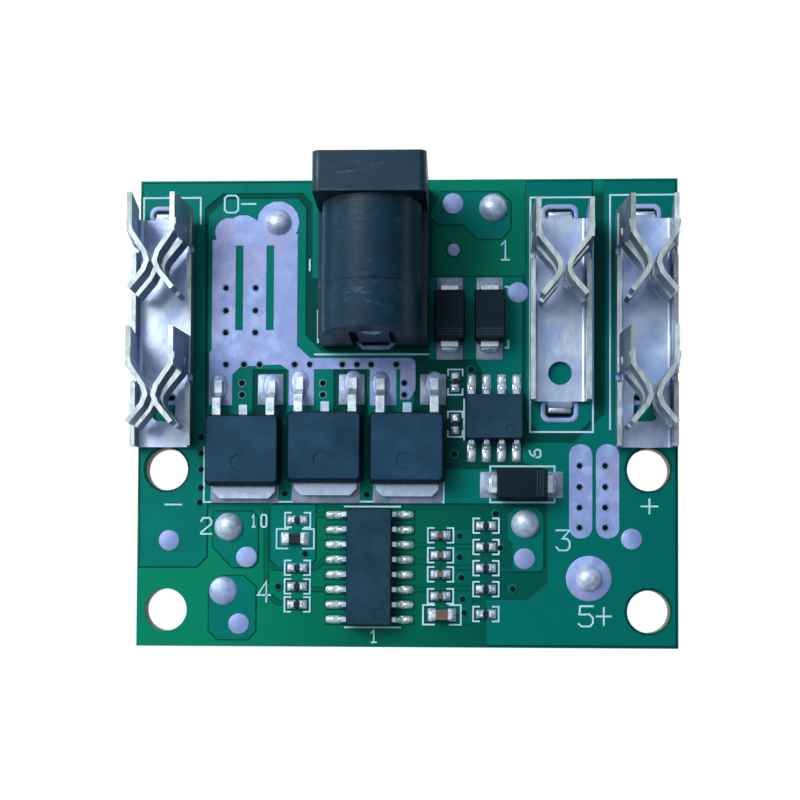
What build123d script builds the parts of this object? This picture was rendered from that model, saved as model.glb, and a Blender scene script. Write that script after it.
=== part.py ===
from build123d import *
import math
import os

# Battery management board, in millimetres.
# The origin is the centre of the four mounting holes, on the underside of the laminate.
# X runs along the board, Y towards the edge with the power jack, Z out of the component side.

os.makedirs("parts", exist_ok=True)

# Laminate, copper and holes
BOARD_T = 1.6
HOLE_D = 3.6
HOLE_SPAN_Y = 12.0
HOLE_EDGE_X = 2.5
HOLE_EDGE_Y = 3.1
VIA_D = 0.55
VIA_SIDES = 6
DISC_SIDES = 14
POUR_T = 0.06
PAD_T = 0.10
PULLBACK = 0.25
CORNER_CUT = 0.85
SLOT_CLEAR = 0.2
SLOT_CORNER = 0.28
RING_ROUNDING = 1.3
SLOT_SHARE = 0.4
RING_W = 0.35
LEG_OUT = 1.2
CELL_TAP_D = 2.4
MINUS_TAP_D = 3.66
PLUS_TAP_D = 3.83
MAIN_DOME_D = 2.25
DOME_H = 0.78
LOW_DOME_H = 0.25
DOME_TAPERS = (30, 62)
DOME_STEP = 0.6
TEST_D = 1.75
SMALL_TEST_D = 1.06
JOINT_H = 0.85
JOINT_SLOPE = 0.3

# Stamped spring terminals
SHEET_T = 0.4
BEND_STEP = math.radians(30)
CLIP_W = 5.1
CLIP_H = 6.5
CLIP_FRONT = 3.55
LONG_CLIP_L = 19.5
SHORT_CLIP_L = 15.6
LOW_WALL = 2.0
BASE_BEND = 0.45
WING_L = 3.2
WING_FRONT = 0.4
WING_FOOT = 1.0
LONG_WING_HALF = 1.75
SHORT_WING_HALF = 2.15
LEFT_PAIRS = (-0.4, 10.6)
MIDDLE_PAIR = (0.2,)
RIGHT_PAIRS = (-0.1, 10.6)
FINGER_BEND = 1.3
FINGER_RUN = 2.75
FLARE_RUN = 2.2
FLARE_HALF = 1.8
PINCH_GAP = 0.1
FINGER_BASE = 1.4
FINGER_SLOT = 1.1
FINGER_AHEAD = 0.3
FINGER_ROOT = 0.8
LOWER_FINGER_H = 2.0
RELIEF_W = 0.45
LONG_TAB_W = 1.7
SHORT_TAB_W = 2.05
TAB_OUT = 0.35
TAB_BEND = 0.35
TAB_REACH = 1.4
SLOT_AHEAD = 0.8
WINDOW_Y = 14.7
WINDOW_L = 2.6
WINDOW_W = 2.0
WINDOW_CORNER = 0.6
EYE_Y = 13.2
EYE_D = 2.0

# Barrel jack
JACK_W = 9.0
JACK_L = 13.7
JACK_H = 11.0
JACK_FLANGE = 3.2
JACK_EDGE_R = 0.6
JACK_BARREL_R = 4.0
JACK_AXIS_H = 6.5
JACK_LEDGE_H = 5.0
JACK_BORE_D = 6.3
JACK_BORE_L = 10.4
JACK_MOUTH = 0.35
JACK_PIN_D = 2.0
JACK_PIN_SET = 1.0
JACK_SHANK_D = 1.6
RIVET_H = 0.3
JACK_RECESS = 0.7
JACK_RECESS_W = 3.7
JACK_STRIP_T = 0.3
JACK_STRIP_W = 2.7
JACK_STRIP_TOP = 7.6
JACK_LEG_W = 2.3
JACK_LEAF_T = 0.25
JACK_LEAF_W = 2.2
JACK_SLEEVE_LEG = 7.7
JACK_SWITCH_LEG = 10.7
JACK_SWITCH_X = 3.7
JACK_GAP = 0.15
JACK_POCKET = 0.6
JACK_POCKET_TOP = 4.0
JACK_SWITCH_IN = 1.1
JACK_SWITCH_TOP = 3.2
JACK_TONGUE_H = 2.9
JACK_SPRING_TOP = 3.75
JACK_SPRING_RUN = 3.2
JACK_SPRING_RISE = 1.1
JACK_SPRING_TIP = 1.4
JACK_HEAD_OUT = 0.3
JACK_HEAD_H = 0.7
JACK_FOOT_H = 0.35
JACK_X = -2.65
JACK_SETBACK = 0.8
JACK_TO_LEADS = 2.27

# Power transistors
FET_W = 6.5
FET_L = 6.1
FET_H = 2.3
FET_GAP = 0.45
FET_TAB_W = 5.3
FET_TAB_OUT = 1.0
FET_TAB_T = 0.5
FET_TAB_CHAMFER = 0.55
FET_TAB_IN = 4.6
FET_LEAD_PITCH = 4.57
FET_LEAD_W = 0.72
FET_LEAD_OUT = 3.0
FET_LEAD_H = 1.15
FET_STUB_OUT = 0.8
FET_DRAFT = 12.0
FET_SETBACKS = (0.33, 0.62, 0.54)
FET_PAD_L = 11.0
FET_LEAD_IN = 0.9
FET_FOOT = 1.2
FET_DROP = 0.55
FET_STUB_LAP = 0.6
FET_STUB_FLAT = 0.2
FET_STUB_RISE = 1.1
FET_CLEAR = 0.02
FET_DIMPLE = (-0.2, 1.9, 1.4)
DIMPLE_T = 0.08

# Integrated circuits, both with the same lead form
LEAD_PITCH = 1.27
LEAD_W = 0.42
LEAD_T = 0.2
LEAD_SPAN = 6.0
LEAD_FOOT = 0.6
LEAD_IN = 0.4
LEAD_DROP = 0.2
LEAD_RAISE = 0.05
CHIP_BODY_W = 3.9
CHIP_BODY_H = 1.6
CHIP_STANDOFF = 0.15
CHIP_DRAFT = 7.0
CONTROLLER_PINS = 8
CONTROLLER_L = 9.9
CONTROLLER_DIMPLE = (0.95, -3.95, 1.0)
CONTROLLER_TO_EDGE = 1.83
CONTROLLER_TO_TABS = 0.5
CONTROLLER_SHIFT = 3.77
SWITCH_PINS = 4
SWITCH_L = 4.9
SWITCH_DIMPLE = (-1.1, -1.35, 0.8)
SWITCH_Y = 7.24
PAD_BEYOND = 0.7
STRIP_W = 1.95
STRIP_ROUND = 0.9
ROUND_STEPS = 4
LEAD_PAD_W = 0.7

# Diodes
DIODE_L = 4.3
DIODE_W = 2.6
DIODE_H = 2.1
DIODE_STANDOFF = 0.25
DIODE_LEAD_W = 1.5
DIODE_LEAD_T = 0.2
DIODE_LEAD_IN = 0.5
DIODE_FOOT = 1.1
DIODE_SPAN = 5.2
DIODE_DRAFT = 5.0
DIODE_PAD_L = 7.0
DIODE_PAD_W = 2.2
DIODE_TO_JACK = 0.5
DIODE_GAP = 0.8
DIODE_RISE = 2.5

# Chip resistors and capacitors: length, width, cap length
SMALL_CHIP = (1.0, 0.5, 0.25)
LARGE_CHIP = (1.7, 0.85, 0.35)
SMALL_RESISTOR_H = 0.35
SMALL_CAPACITOR_H = 0.5
LARGE_RESISTOR_H = 0.5
LARGE_CAPACITOR_H = 0.8
CHIP_PAD_OUT = 0.35

# Gaps along the row of terminals, transistors and switch, from left to right
CLIP_OVERHANG = 0.3
CLIP_TO_FETS = 1.16
FETS_TO_CHIP = 0.54
CHIP_TO_SWITCH = 0.6
SWITCH_TO_CLIP = 0.55
CLIP_TO_CLIP = 2.1
CLIP_INSET = 0.25

# The board is as wide as its fullest row needs
fets_w = 3 * FET_W + 2 * FET_GAP
board_w = (
    -CLIP_OVERHANG + CLIP_W + CLIP_TO_FETS + fets_w + FETS_TO_CHIP + SMALL_CHIP[1]
    + CHIP_TO_SWITCH + SWITCH_L + SWITCH_TO_CLIP + CLIP_W + CLIP_TO_CLIP + CLIP_W + CLIP_INSET
)
board_x0 = -board_w / 2
board_x1 = board_w / 2
left_clip_x = board_x0 - CLIP_OVERHANG + CLIP_W / 2
fets_x0 = left_clip_x + CLIP_W / 2 + CLIP_TO_FETS
fet_x = [fets_x0 + FET_W / 2 + i * (FET_W + FET_GAP) for i in range(3)]
side_chip_x = fets_x0 + fets_w + FETS_TO_CHIP + SMALL_CHIP[1] / 2
switch_x = side_chip_x + SMALL_CHIP[1] / 2 + CHIP_TO_SWITCH + SWITCH_L / 2
mid_clip_x = switch_x + SWITCH_L / 2 + SWITCH_TO_CLIP + CLIP_W / 2
right_clip_x = mid_clip_x + CLIP_W + CLIP_TO_CLIP

# The board is as deep as the controller, the transistors and the jack stand above each other
board_y0 = -HOLE_SPAN_Y / 2 - HOLE_EDGE_Y
controller_x = fet_x[1] + CONTROLLER_SHIFT
controller_y = board_y0 + CONTROLLER_TO_EDGE + CONTROLLER_L / 2
tab_y = controller_y + CONTROLLER_L / 2 + CONTROLLER_TO_TABS
lead_y = tab_y + FET_PAD_L
jack_rear_y = lead_y + JACK_TO_LEADS
jack_front_y = jack_rear_y + JACK_L
board_y1 = jack_front_y + JACK_SETBACK
clip_y = board_y1 - CLIP_FRONT
switch_y = tab_y + SWITCH_Y
jack_side_x = JACK_X + JACK_W / 2
diode_y = jack_rear_y + DIODE_RISE
diode_1_x = jack_side_x + DIODE_TO_JACK + DIODE_W / 2
diode_2_x = diode_1_x + DIODE_W + DIODE_GAP
diode_3_x = switch_x + 2.34
diode_3_y = switch_y - 5.67
hole_x = board_x1 - HOLE_EDGE_X
hole_y = HOLE_SPAN_Y / 2
seat_z = BOARD_T + PAD_T
leg_z = -seat_z - LEG_OUT


def block(x0, x1, y0, y1, z0, z1):
    """A block between two corners."""
    return Pos((x0 + x1) / 2, (y0 + y1) / 2, (z0 + z1) / 2) * Box(x1 - x0, y1 - y0, z1 - z0)


def prism(points, height):
    """An upright prism on its outline."""
    return extrude(Polygon(*points, align=None), amount=height, dir=(0, 0, 1))


def plate(points, thickness):
    """A flat plate on the top of the laminate, from its outline."""
    return Pos(0, 0, BOARD_T) * prism(points, thickness)


def moved(points, dx, dy):
    """The same outline, measured from another point."""
    return [(x + dx, y + dy) for x, y in points]


def rectangle(x0, x1, y0, y1):
    """The outline of a rectangle."""
    return [(x0, y0), (x1, y0), (x1, y1), (x0, y1)]


def disc(x, y, d, low, high):
    """A small round plate between two heights, with flat sides so that it stays light."""
    return Pos(x, y, low) * extrude(RegularPolygon(d / 2, DISC_SIDES), amount=high - low)


def band(points, thickness):
    """The outline of a thin strip along a line, with mitred bends."""
    headings = [math.atan2(b[1] - a[1], b[0] - a[0]) for a, b in zip(points, points[1:])]
    before = headings[:1] + headings
    after = headings + headings[-1:]
    left, right = [], []
    for (x, y), a, b in zip(points, before, after):
        reach = thickness / 2 / math.cos((b - a) / 2)
        dx, dy = -reach * math.sin((a + b) / 2), reach * math.cos((a + b) / 2)
        left.append((x + dx, y + dy))
        right.append((x - dx, y - dy))
    return Polygon(*left, *reversed(right), align=None)


def eased(points, radius):
    """The same line with its inner corners rounded, each by an arc in a few straight steps."""
    line = [points[0]]
    for before, corner, after in zip(points, points[1:], points[2:]):
        start = math.atan2(corner[1] - before[1], corner[0] - before[0])
        end = math.atan2(after[1] - corner[1], after[0] - corner[0])
        turn = math.remainder(end - start, math.tau)
        steps = max(1, round(abs(turn) / BEND_STEP))
        reach = radius * math.tan(abs(turn) / 2)
        x, y = corner[0] - reach * math.cos(start), corner[1] - reach * math.sin(start)
        line.append((x, y))
        chord = 2 * radius * math.sin(abs(turn) / steps / 2)
        for i in range(steps):
            heading = start + turn * (i + 0.5) / steps
            x, y = x + chord * math.cos(heading), y + chord * math.sin(heading)
            line.append((x, y))
    return line + [points[-1]]


def folded(plane, points, thickness, width):
    """A narrow strip of sheet, bent along a line in a plane and centred on it."""
    return extrude(plane * band(points, thickness), amount=width / 2, both=True)


def moulded(w, l, low, split, high, draft):
    """A moulded body whose four sides taper up and down from the parting line."""
    upper = extrude(Rectangle(w, l), amount=high - split, taper=draft)
    lower = Rot(180, 0, 0) * extrude(Rectangle(w, l), amount=split - low, taper=draft)
    return Pos(0, 0, split) * (upper + lower)


def both_sides(piece):
    """The piece and its mirror image across the YZ plane."""
    return piece + mirror(piece, about=Plane.YZ)


def place(piece, x, y):
    """The piece set down on the pads at a point of the board."""
    return Pos(x, y, seat_z) * piece


def group(pieces):
    """Like pieces as one group of separate solids."""
    return Compound([solid for piece in pieces for solid in piece.solids()])


def cut_corners(x0, x1, y0, y1, corner):
    """The outline of a rectangle with its four corners cut off."""
    return [
        (x0 + corner, y0), (x1 - corner, y0), (x1, y0 + corner), (x1, y1 - corner),
        (x1 - corner, y1), (x0 + corner, y1), (x0, y1 - corner), (x0, y0 + corner),
    ]


def rounded(x0, x1, y0, y1, radius):
    """The outline of a rectangle with its four corners rounded in a few straight steps."""
    corners = ((x1, y1, -1, -1), (x0, y1, 1, -1), (x0, y0, 1, 1), (x1, y0, -1, 1))
    outline = []
    for i, (x, y, to_x, to_y) in enumerate(corners):
        for step in range(ROUND_STEPS + 1):
            angle = math.pi / 2 * (i + step / ROUND_STEPS)
            cx, cy = x + to_x * radius, y + to_y * radius
            outline.append((cx + radius * math.cos(angle), cy + radius * math.sin(angle)))
    return outline


def leg_slot(x, w, y0, y1, grow):
    """The outline of a leg's slot in the laminate, grown all round by the given amount."""
    half = w / 2 + SLOT_CLEAR + grow
    length = y1 - y0 + 2 * grow
    corner = min(SLOT_CORNER + RING_ROUNDING * grow, SLOT_SHARE * 2 * half, SLOT_SHARE * length)
    return cut_corners(x - half, x + half, y0 - grow, y1 + grow, corner)


# Each leg through the board: its centre, its size in X and Y, and the slot round it as Y limits
def clip_legs(x, length, tab_w, window):
    """The two legs of a terminal, front and rear."""
    half = SHEET_T / 2
    front = clip_y + TAB_OUT
    legs = [(x, front, tab_w, SHEET_T, front - half - SLOT_CLEAR / 2, front + half + SLOT_AHEAD / 2)]
    if window:
        rear = clip_y - WINDOW_Y - half
        legs.append((x, rear, tab_w, SHEET_T, rear - half - SLOT_AHEAD / 2, rear + half + SLOT_CLEAR / 2))
    else:
        rear = clip_y - length - TAB_OUT
        legs.append((x, rear, tab_w, SHEET_T, rear - half - SLOT_AHEAD, rear + half + SLOT_CLEAR / 2))
    return legs


def jack_legs():
    """The three legs of the jack: rear terminal, sleeve spring and side switch contact."""
    half = SLOT_CLEAR + JACK_STRIP_T / 2
    rear = jack_rear_y + JACK_RECESS - JACK_STRIP_T / 2
    sleeve = jack_front_y - JACK_SLEEVE_LEG
    switch = jack_front_y - JACK_SWITCH_LEG
    side_half = JACK_LEAF_W / 2 + SLOT_CLEAR
    return [
        (JACK_X, rear, JACK_LEG_W, JACK_STRIP_T, rear - half, rear + half),
        (JACK_X, sleeve, JACK_LEAF_W, JACK_LEAF_T, sleeve - half, sleeve + half),
        (JACK_X + JACK_SWITCH_X, switch, JACK_LEAF_T, JACK_LEAF_W, switch - side_half, switch + side_half),
    ]


legs = (
    clip_legs(left_clip_x, LONG_CLIP_L, LONG_TAB_W, True)
    + clip_legs(mid_clip_x, SHORT_CLIP_L, SHORT_TAB_W, False)
    + clip_legs(right_clip_x, LONG_CLIP_L, LONG_TAB_W, True)
    + jack_legs()
)


def slots(grow, z0, z1):
    """All leg slots as cutters, grown all round by the given amount."""
    cutters = []
    for x, _, w, _, y0, y1 in legs:
        outline = leg_slot(x, w, y0, y1, grow)
        cutters.append(Pos(0, 0, z0) * prism(outline, z1 - z0))
    return cutters


# Open vias in the tinned areas: under the minus tap, along the source leads and in the two strips
via_points = [(fet_x[0] + dx, lead_y + dy) for dx in (-1.75, 0.8) for dy in (7.45, 5.5, 3.6)]
via_points += [(fet_x[0] + dx, lead_y + 0.85) for dx in (-1.7, -0.15, 1.2, 4.2, 5.5, 8.3, 9.55, 10.75, 12.9)]
via_points += [(x - 0.3, lead_y + dy) for x in fet_x for dy in (-0.75, -1.75)]
via_points += [(mid_clip_x + dx, tab_y + dy) for dx in (1.69, 3.85) for dy in (3.2, 1.4, -0.35, -2.05)]


def vias(z0, z1):
    """The via holes as cutters, with flat sides because they are so small."""
    outline = RegularPolygon(VIA_D / 2, VIA_SIDES)
    return [Pos(x, y, z0) * extrude(outline, amount=z1 - z0) for x, y in via_points]


def make_board():
    """The laminate with its mounting holes, leg slots and vias."""
    board = block(board_x0, board_x1, board_y0, board_y1, 0, BOARD_T)
    holes = [
        Pos(sx * hole_x, sy * hole_y, BOARD_T / 2) * Cylinder(HOLE_D / 2, 2 * BOARD_T)
        for sx in (-1, 1) for sy in (-1, 1)
    ]
    return board - holes - slots(0, -BOARD_T, 2 * BOARD_T) - vias(-BOARD_T, 2 * BOARD_T)


def chip_pads(x, y, length, width, along_x):
    """The two pads under a chip."""
    reach = length / 2 + CHIP_PAD_OUT
    inner = length / 2 - CHIP_PAD_OUT
    half = width / 2 + CHIP_PAD_OUT / 3
    ends = [(-reach, -inner), (inner, reach)]
    if along_x:
        return [rectangle(x + a, x + b, y - half, y + half) for a, b in ends]
    return [rectangle(x - half, x + half, y + a, y + b) for a, b in ends]


# Chips: centre, size, height and whether they lie along X
resistors = [
    (side_chip_x, switch_y + 3.09, SMALL_CHIP, False),
    (side_chip_x, switch_y - 0.5, SMALL_CHIP, False),
]
resistors += [(controller_x - 6.16, controller_y + dy, SMALL_CHIP, True) for dy in (3.99, -0.08, -1.67, -3.2)]
resistors += [(controller_x - 6.36, controller_y + 2.39, LARGE_CHIP, True)]
resistors += [
    (controller_x + 9.87, controller_y + dy, SMALL_CHIP, True) for dy in (3.55, 1.74, -0.05, -1.83, -3.93)
]
capacitors = [(controller_x + 6.02, controller_y + dy, SMALL_CHIP, True) for dy in (2.72, 1.03, -0.59, -2.44)]
capacitors += [(controller_x + 6.15, controller_y - 4.02, LARGE_CHIP, True)]

# Round cell taps and test points: centre and diameter
taps = {
    "minus": (fet_x[0] + 2.7, board_y1 - 3.65, MINUS_TAP_D),
    "one": (switch_x - 0.11, board_y1 - 2.48, CELL_TAP_D),
    "two": (fet_x[0] - 1.36, controller_y + 3.38, CELL_TAP_D),
    "three": (controller_x + 13.2, controller_y + 3.7, CELL_TAP_D),
    "four": (fet_x[0] - 1.77, controller_y - 2.06, CELL_TAP_D),
    "plus": (mid_clip_x + 2.47, controller_y - 0.9, PLUS_TAP_D),
}
test_points = [
    (diode_1_x + 0.25, board_y1 - 2.1, TEST_D),
    (diode_2_x + 2.41, diode_y + 2.22, TEST_D),
    (fet_x[0] + 0.21, controller_y + 0.82, TEST_D),
    (board_x0 + 2.76, controller_y + 2.22, TEST_D),
    (fet_x[0] - 0.42, controller_y - 4.86, TEST_D),
    (controller_x + 13.12, controller_y + 0.76, TEST_D),
    (right_clip_x - 1.13, controller_y + 2.45, TEST_D),
    (diode_1_x + 0.32, board_y1 - 6.1, SMALL_TEST_D),
]


def copper_outlines():
    """The copper areas under the mask: each one's outline, from the parts that it joins."""
    row = fet_x[0]
    ring = [
        (-3.3, 11.1), (-3.3, 24.7), (-1.8, 26.15), (4.4, 26.15), (5.1, 25.35),
        (5.1, 14.35), (6.55, 12.95), (13.9, 12.95), (14.45, 12.4), (14.45, 7.5), (-3.3, 7.5),
    ]
    outer = [
        (board_x0, controller_y), (fets_x0 - CORNER_CUT, controller_y), (fets_x0, controller_y + CORNER_CUT),
        (fets_x0, tab_y), (-3.5 + row, tab_y + 11.0),
        (-3.65 + row, board_y1 - 2.4), (-2.1 + row, board_y1 - 1.1), (4.85 + row, board_y1 - 1.1),
        (5.7 + row, board_y1 - 2.1), (5.7 + row, board_y1 - 8.5), (6.15 + row, board_y1 - 8.5),
        (6.15 + row, board_y1), (board_x0, board_y1),
    ]
    drains = [
        (fets_x0, tab_y), (switch_x - 0.4, tab_y), (switch_x + 0.4, tab_y + 0.35), (switch_x + 0.4, tab_y + 2.9),
        (fets_x0 + fets_w, tab_y + 2.9), (fets_x0 + fets_w, tab_y + 7.2), (fets_x0, tab_y + 7.2),
    ]
    cell_two = [(-1.3, -1.7), (0.35, -3.4), (2.05, -3.4), (2.5, -2.95), (2.5, 0.8), (2.0, 1.3), (-1.3, 1.3)]
    cell_four = [(-1.2, 0.1), (-1.2, -3.4), (-0.5, -4.1), (2.1, -4.1), (2.75, -3.4), (2.75, 0.35), (1.7, 1.25), (0, 1.25)]
    sense = [(-8.45, 5.25), (-4.65, 5.25), (-4.65, 0.6), (-5.3, 0.0), (-7.85, 0.0), (-8.45, 0.6)]
    cell_three = [
        (-1.45, 0.75), (-0.85, 1.4), (0.95, 1.4), (1.5, 0.75), (1.5, -3.65), (1.2, -4.0), (-0.75, -4.0),
        (-1.05, -3.65), (-1.05, -1.7), (-1.45, -1.3),
    ]
    plus = [
        (mid_clip_x + 3.85, board_y1), (board_x1, board_y1), (board_x1, board_y0), (switch_x - 0.6, board_y0),
        (switch_x - 0.6, controller_y - 2.75), (mid_clip_x - 2.6, controller_y - 2.75),
        (mid_clip_x - 1.0, controller_y - 1.4), (mid_clip_x - 1.0, tab_y + 2.9), (switch_x + 2.45, tab_y + 3.5),
        (switch_x + 2.45, tab_y + 4.8), (mid_clip_x - 2.8, tab_y + 5.15), (mid_clip_x + 1.25, tab_y + 5.15),
        (mid_clip_x + 3.85, tab_y + 7.6),
    ]
    charge = [
        (-2.8, 3.5), (2.7, 3.5), (2.7, -17.1), (1.65, -18.15), (-1.65, -18.15), (-2.8, -17.1),
    ]
    diodes = [
        (diode_1_x - 1.7, diode_y + 3.55), (diode_2_x + 2.78, diode_y + 3.55), (diode_2_x + 2.78, switch_y + 2.05),
        (switch_x - 1.0, switch_y + 2.05), (switch_x - 1.0, switch_y + 4.0), (switch_x - 1.6, diode_y - 3.5),
        (diode_1_x - 1.7, diode_y - 3.5),
    ]
    cell_one = [
        (-5.35, -0.5), (-4.5, 1.35), (0.55, 1.35), (1.45, 0.45), (1.45, -1.8), (0.7, -2.65), (-1.35, -2.65),
        (-2.55, -1.4), (-4.6, -1.4), (-5.35, -0.8),
    ]
    return [
        outer, moved(ring, row, tab_y), drains,
        moved(cell_two, *taps["two"][:2]), moved(cell_four, *taps["four"][:2]),
        moved(sense, controller_x, controller_y), moved(cell_three, *taps["three"][:2]),
        plus, moved(charge, mid_clip_x, clip_y), diodes, moved(cell_one, *taps["one"][:2]),
    ]


def gate_gaps():
    """The mask-only moats round the three gate pads."""
    half = FET_LEAD_PITCH / 2
    moats = []
    for x in fet_x:
        outline = rectangle(x + half - 1.7, x + half + 1.3, tab_y + 7.0, lead_y + 0.45)
        moats.append(plate(outline, 2 * POUR_T))
    return moats


def make_copper():
    """The copper of the top side: large areas under the mask and the small ones under the bare pads."""
    inside = block(
        board_x0 + PULLBACK, board_x1 - PULLBACK, board_y0 + PULLBACK, board_y1 - PULLBACK, 0, 2 * BOARD_T
    )
    pours = [plate(points, POUR_T) for points in copper_outlines()]
    areas = (pours[0] + pours[1:]) & inside
    holes = [
        disc(sx * hole_x, sy * hole_y, HOLE_D + 2 * PULLBACK, 0, 2 * BOARD_T) for sx in (-1, 1) for sy in (-1, 1)
    ]
    copper = areas - holes - gate_gaps() + bare_areas(BOARD_T, BOARD_T + POUR_T)
    return copper - slots(0, 0, 2 * BOARD_T) - vias(0, 2 * BOARD_T)


def lead_pads(x, y, pins, along_x):
    """The pads of an integrated circuit, one under each lead."""
    inner = CHIP_BODY_W / 2 + 0.1
    outer = LEAD_SPAN / 2 + PAD_BEYOND
    half = LEAD_PAD_W / 2
    pads = []
    for i in range(pins):
        offset = (i - (pins - 1) / 2) * LEAD_PITCH
        for sign in (-1, 1):
            a, b = sorted((sign * inner, sign * outer))
            if along_x:
                pads.append(rectangle(x + offset - half, x + offset + half, y + a, y + b))
            else:
                pads.append(rectangle(x + a, x + b, y + offset - half, y + offset + half))
    return pads


def source_area(low_z, high_z):
    """The large tinned area from the minus tap down to the source leads, with its two masked slots."""
    row, top = fet_x[0], lead_y
    tap_x, tap_y, tap_d = taps["minus"]
    half = FET_LEAD_PITCH / 2
    low = tab_y + 8.35
    main = [
        (row - 2.95, tap_y - 1.5), (row - 2.95, top + 2.1), (row - 3.15, top + 1.9), (row - 3.15, low),
        (row - 1.15, low), (row - 1.15, top), (row - 0.4, top + 0.7), (row + 3.0, top + 0.85),
        (fet_x[1] - half - 0.95, top + 0.35), (fet_x[1] - half - 0.95, low), (fet_x[1] - half + 1.2, low),
        (fet_x[1] - half + 1.2, top + 0.45), (fet_x[2] - half - 0.95, top + 0.45), (fet_x[2] - half - 0.95, low),
        (fet_x[2] - half + 1.3, low), (fet_x[2] - half + 1.3, top + 0.45), (fet_x[2] - 0.65, top + 0.45),
        (fet_x[2] - 0.65, top - 2.15), (fet_x[2] + 0.15, top - 2.15), (fet_x[2] + 0.65, top - 1.3),
        (fet_x[2] + 0.65, top + 1.1), (fet_x[2] + 0.3, top + 1.4), (row + 5.55, top + 1.4),
        (row + 4.4, top + 2.45), (row + 4.4, tap_y - 1.0),
    ]
    area = Pos(0, 0, low_z) * prism(main, high_z - low_z) + [
        disc(tap_x, tap_y, tap_d, low_z, high_z),
        disc(row - 1.5, tap_y - 0.85, 2.5, low_z, high_z),
        disc(row - 0.3, tap_y - 1.05, 3.4, low_z, high_z),
    ]
    for slot_x in (row - 0.6, row + 2.05):
        area = area - block(slot_x - 0.33, slot_x + 0.33, tap_y - 9.3, tap_y - 2.0, low_z, high_z)
    return area


def pad_outlines():
    """The outlines of the angular pads under the parts."""
    half = FET_LEAD_PITCH / 2
    pads = []
    for x in fet_x:
        pads.append(rectangle(x - 2.9, x + 2.9, tab_y, tab_y + 6.2))
        pads.append(rectangle(x + half - 1.2, x + half + 0.95, tab_y + 8.4, lead_y))
    pads += lead_pads(controller_x, controller_y, CONTROLLER_PINS, False)
    pads += lead_pads(switch_x, switch_y, SWITCH_PINS, True)
    ends = (DIODE_PAD_L / 2 - 1.9, DIODE_PAD_L / 2)
    for sign in (-1, 1):
        a, b = sorted((sign * ends[0], sign * ends[1]))
        for x in (diode_1_x, diode_2_x):
            pads.append(rectangle(x - DIODE_PAD_W / 2, x + DIODE_PAD_W / 2, diode_y + a, diode_y + b))
        y0, y1 = diode_3_y - DIODE_PAD_W / 2, diode_3_y + DIODE_PAD_W / 2
        pads.append(rectangle(diode_3_x + a, diode_3_x + b, y0, y1))
    for x, y, (length, width, _), along_x in resistors + capacitors:
        pads += chip_pads(x, y, length, width, along_x)
    for strip_x in (mid_clip_x + 1.79, mid_clip_x + 4.06):
        x0, x1 = strip_x - STRIP_W / 2, strip_x + STRIP_W / 2
        pads.append(rounded(x0, x1, tab_y - 2.97, tab_y + 5.03, STRIP_ROUND))
    return pads


def bare_areas(low_z, high_z):
    """Every area that is free of mask, between two heights: pads, test points and slot rings."""
    pads = [Pos(0, 0, low_z) * prism(points, high_z - low_z) for points in pad_outlines()]
    pads += [disc(*tap, low_z, high_z) for name, tap in taps.items() if name != "minus"]
    pads += [disc(*point, low_z, high_z) for point in test_points]
    rings = slots(RING_W, low_z, high_z)
    laminate = block(board_x0, board_x1, board_y0, board_y1, 0, 2 * BOARD_T)
    return [source_area(low_z, high_z)] + pads + [ring & laminate for ring in rings]


def make_pads():
    """The tin on every bare area, with the leg slots and the open vias cut through."""
    areas = bare_areas(BOARD_T + POUR_T, seat_z)
    return (areas[0] + areas[1:]) - slots(0, 0, 2 * BOARD_T) - vias(0, 2 * BOARD_T)


def finger_pair(start, wing_half):
    """Two facing wings, each with an upper and a lower spring finger that pinch and then flare."""
    half = CLIP_W / 2 - SHEET_T / 2
    slope = (half - wing_half) / (CLIP_H - WING_FOOT)
    front = WING_FRONT - start
    lean = band([(half, WING_FOOT), (wing_half, CLIP_H)], SHEET_T)
    wing = Pos(0, front, 0) * extrude(Plane.XZ * lean, amount=WING_L, dir=(0, -1, 0))
    upper = (FINGER_BASE + LOWER_FINGER_H + FINGER_SLOT, CLIP_H)
    lower = (FINGER_BASE, FINGER_BASE + LOWER_FINGER_H)
    pair = wing
    for z0, z1 in (lower, upper):
        root = half - slope * ((z0 + z1) / 2 - WING_FOOT)
        bend = front - WING_L + FINGER_AHEAD
        pinch = (PINCH_GAP + SHEET_T) / 2
        turn = math.atan2(root - pinch, FINGER_RUN) + math.atan2(FLARE_HALF - pinch, FLARE_RUN)
        corner = pinch - FINGER_BEND * (1 / math.cos(turn / 2) - 1)
        line = [
            (root, bend + FINGER_ROOT), (root, bend), (corner, bend - FINGER_RUN),
            (FLARE_HALF, bend - FINGER_RUN - FLARE_RUN),
        ]
        finger = extrude(band(eased(line, FINGER_BEND), SHEET_T), amount=z1 - z0, dir=(0, 0, 1))
        pair = pair + Pos(0, 0, z0) * finger
    return both_sides(pair)


def relief_cut(start):
    """The slanted slit that frees the fingers from the low wall behind them."""
    rear = WING_FRONT - start - WING_L
    outline = Polygon(
        (rear, LOW_WALL + RELIEF_W), (rear - 2 * RELIEF_W, LOW_WALL + RELIEF_W),
        (rear - RELIEF_W, SHEET_T + BASE_BEND), (rear, SHEET_T + BASE_BEND), align=None,
    )
    return extrude(Plane.YZ * outline, amount=CLIP_W, both=True)


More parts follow.
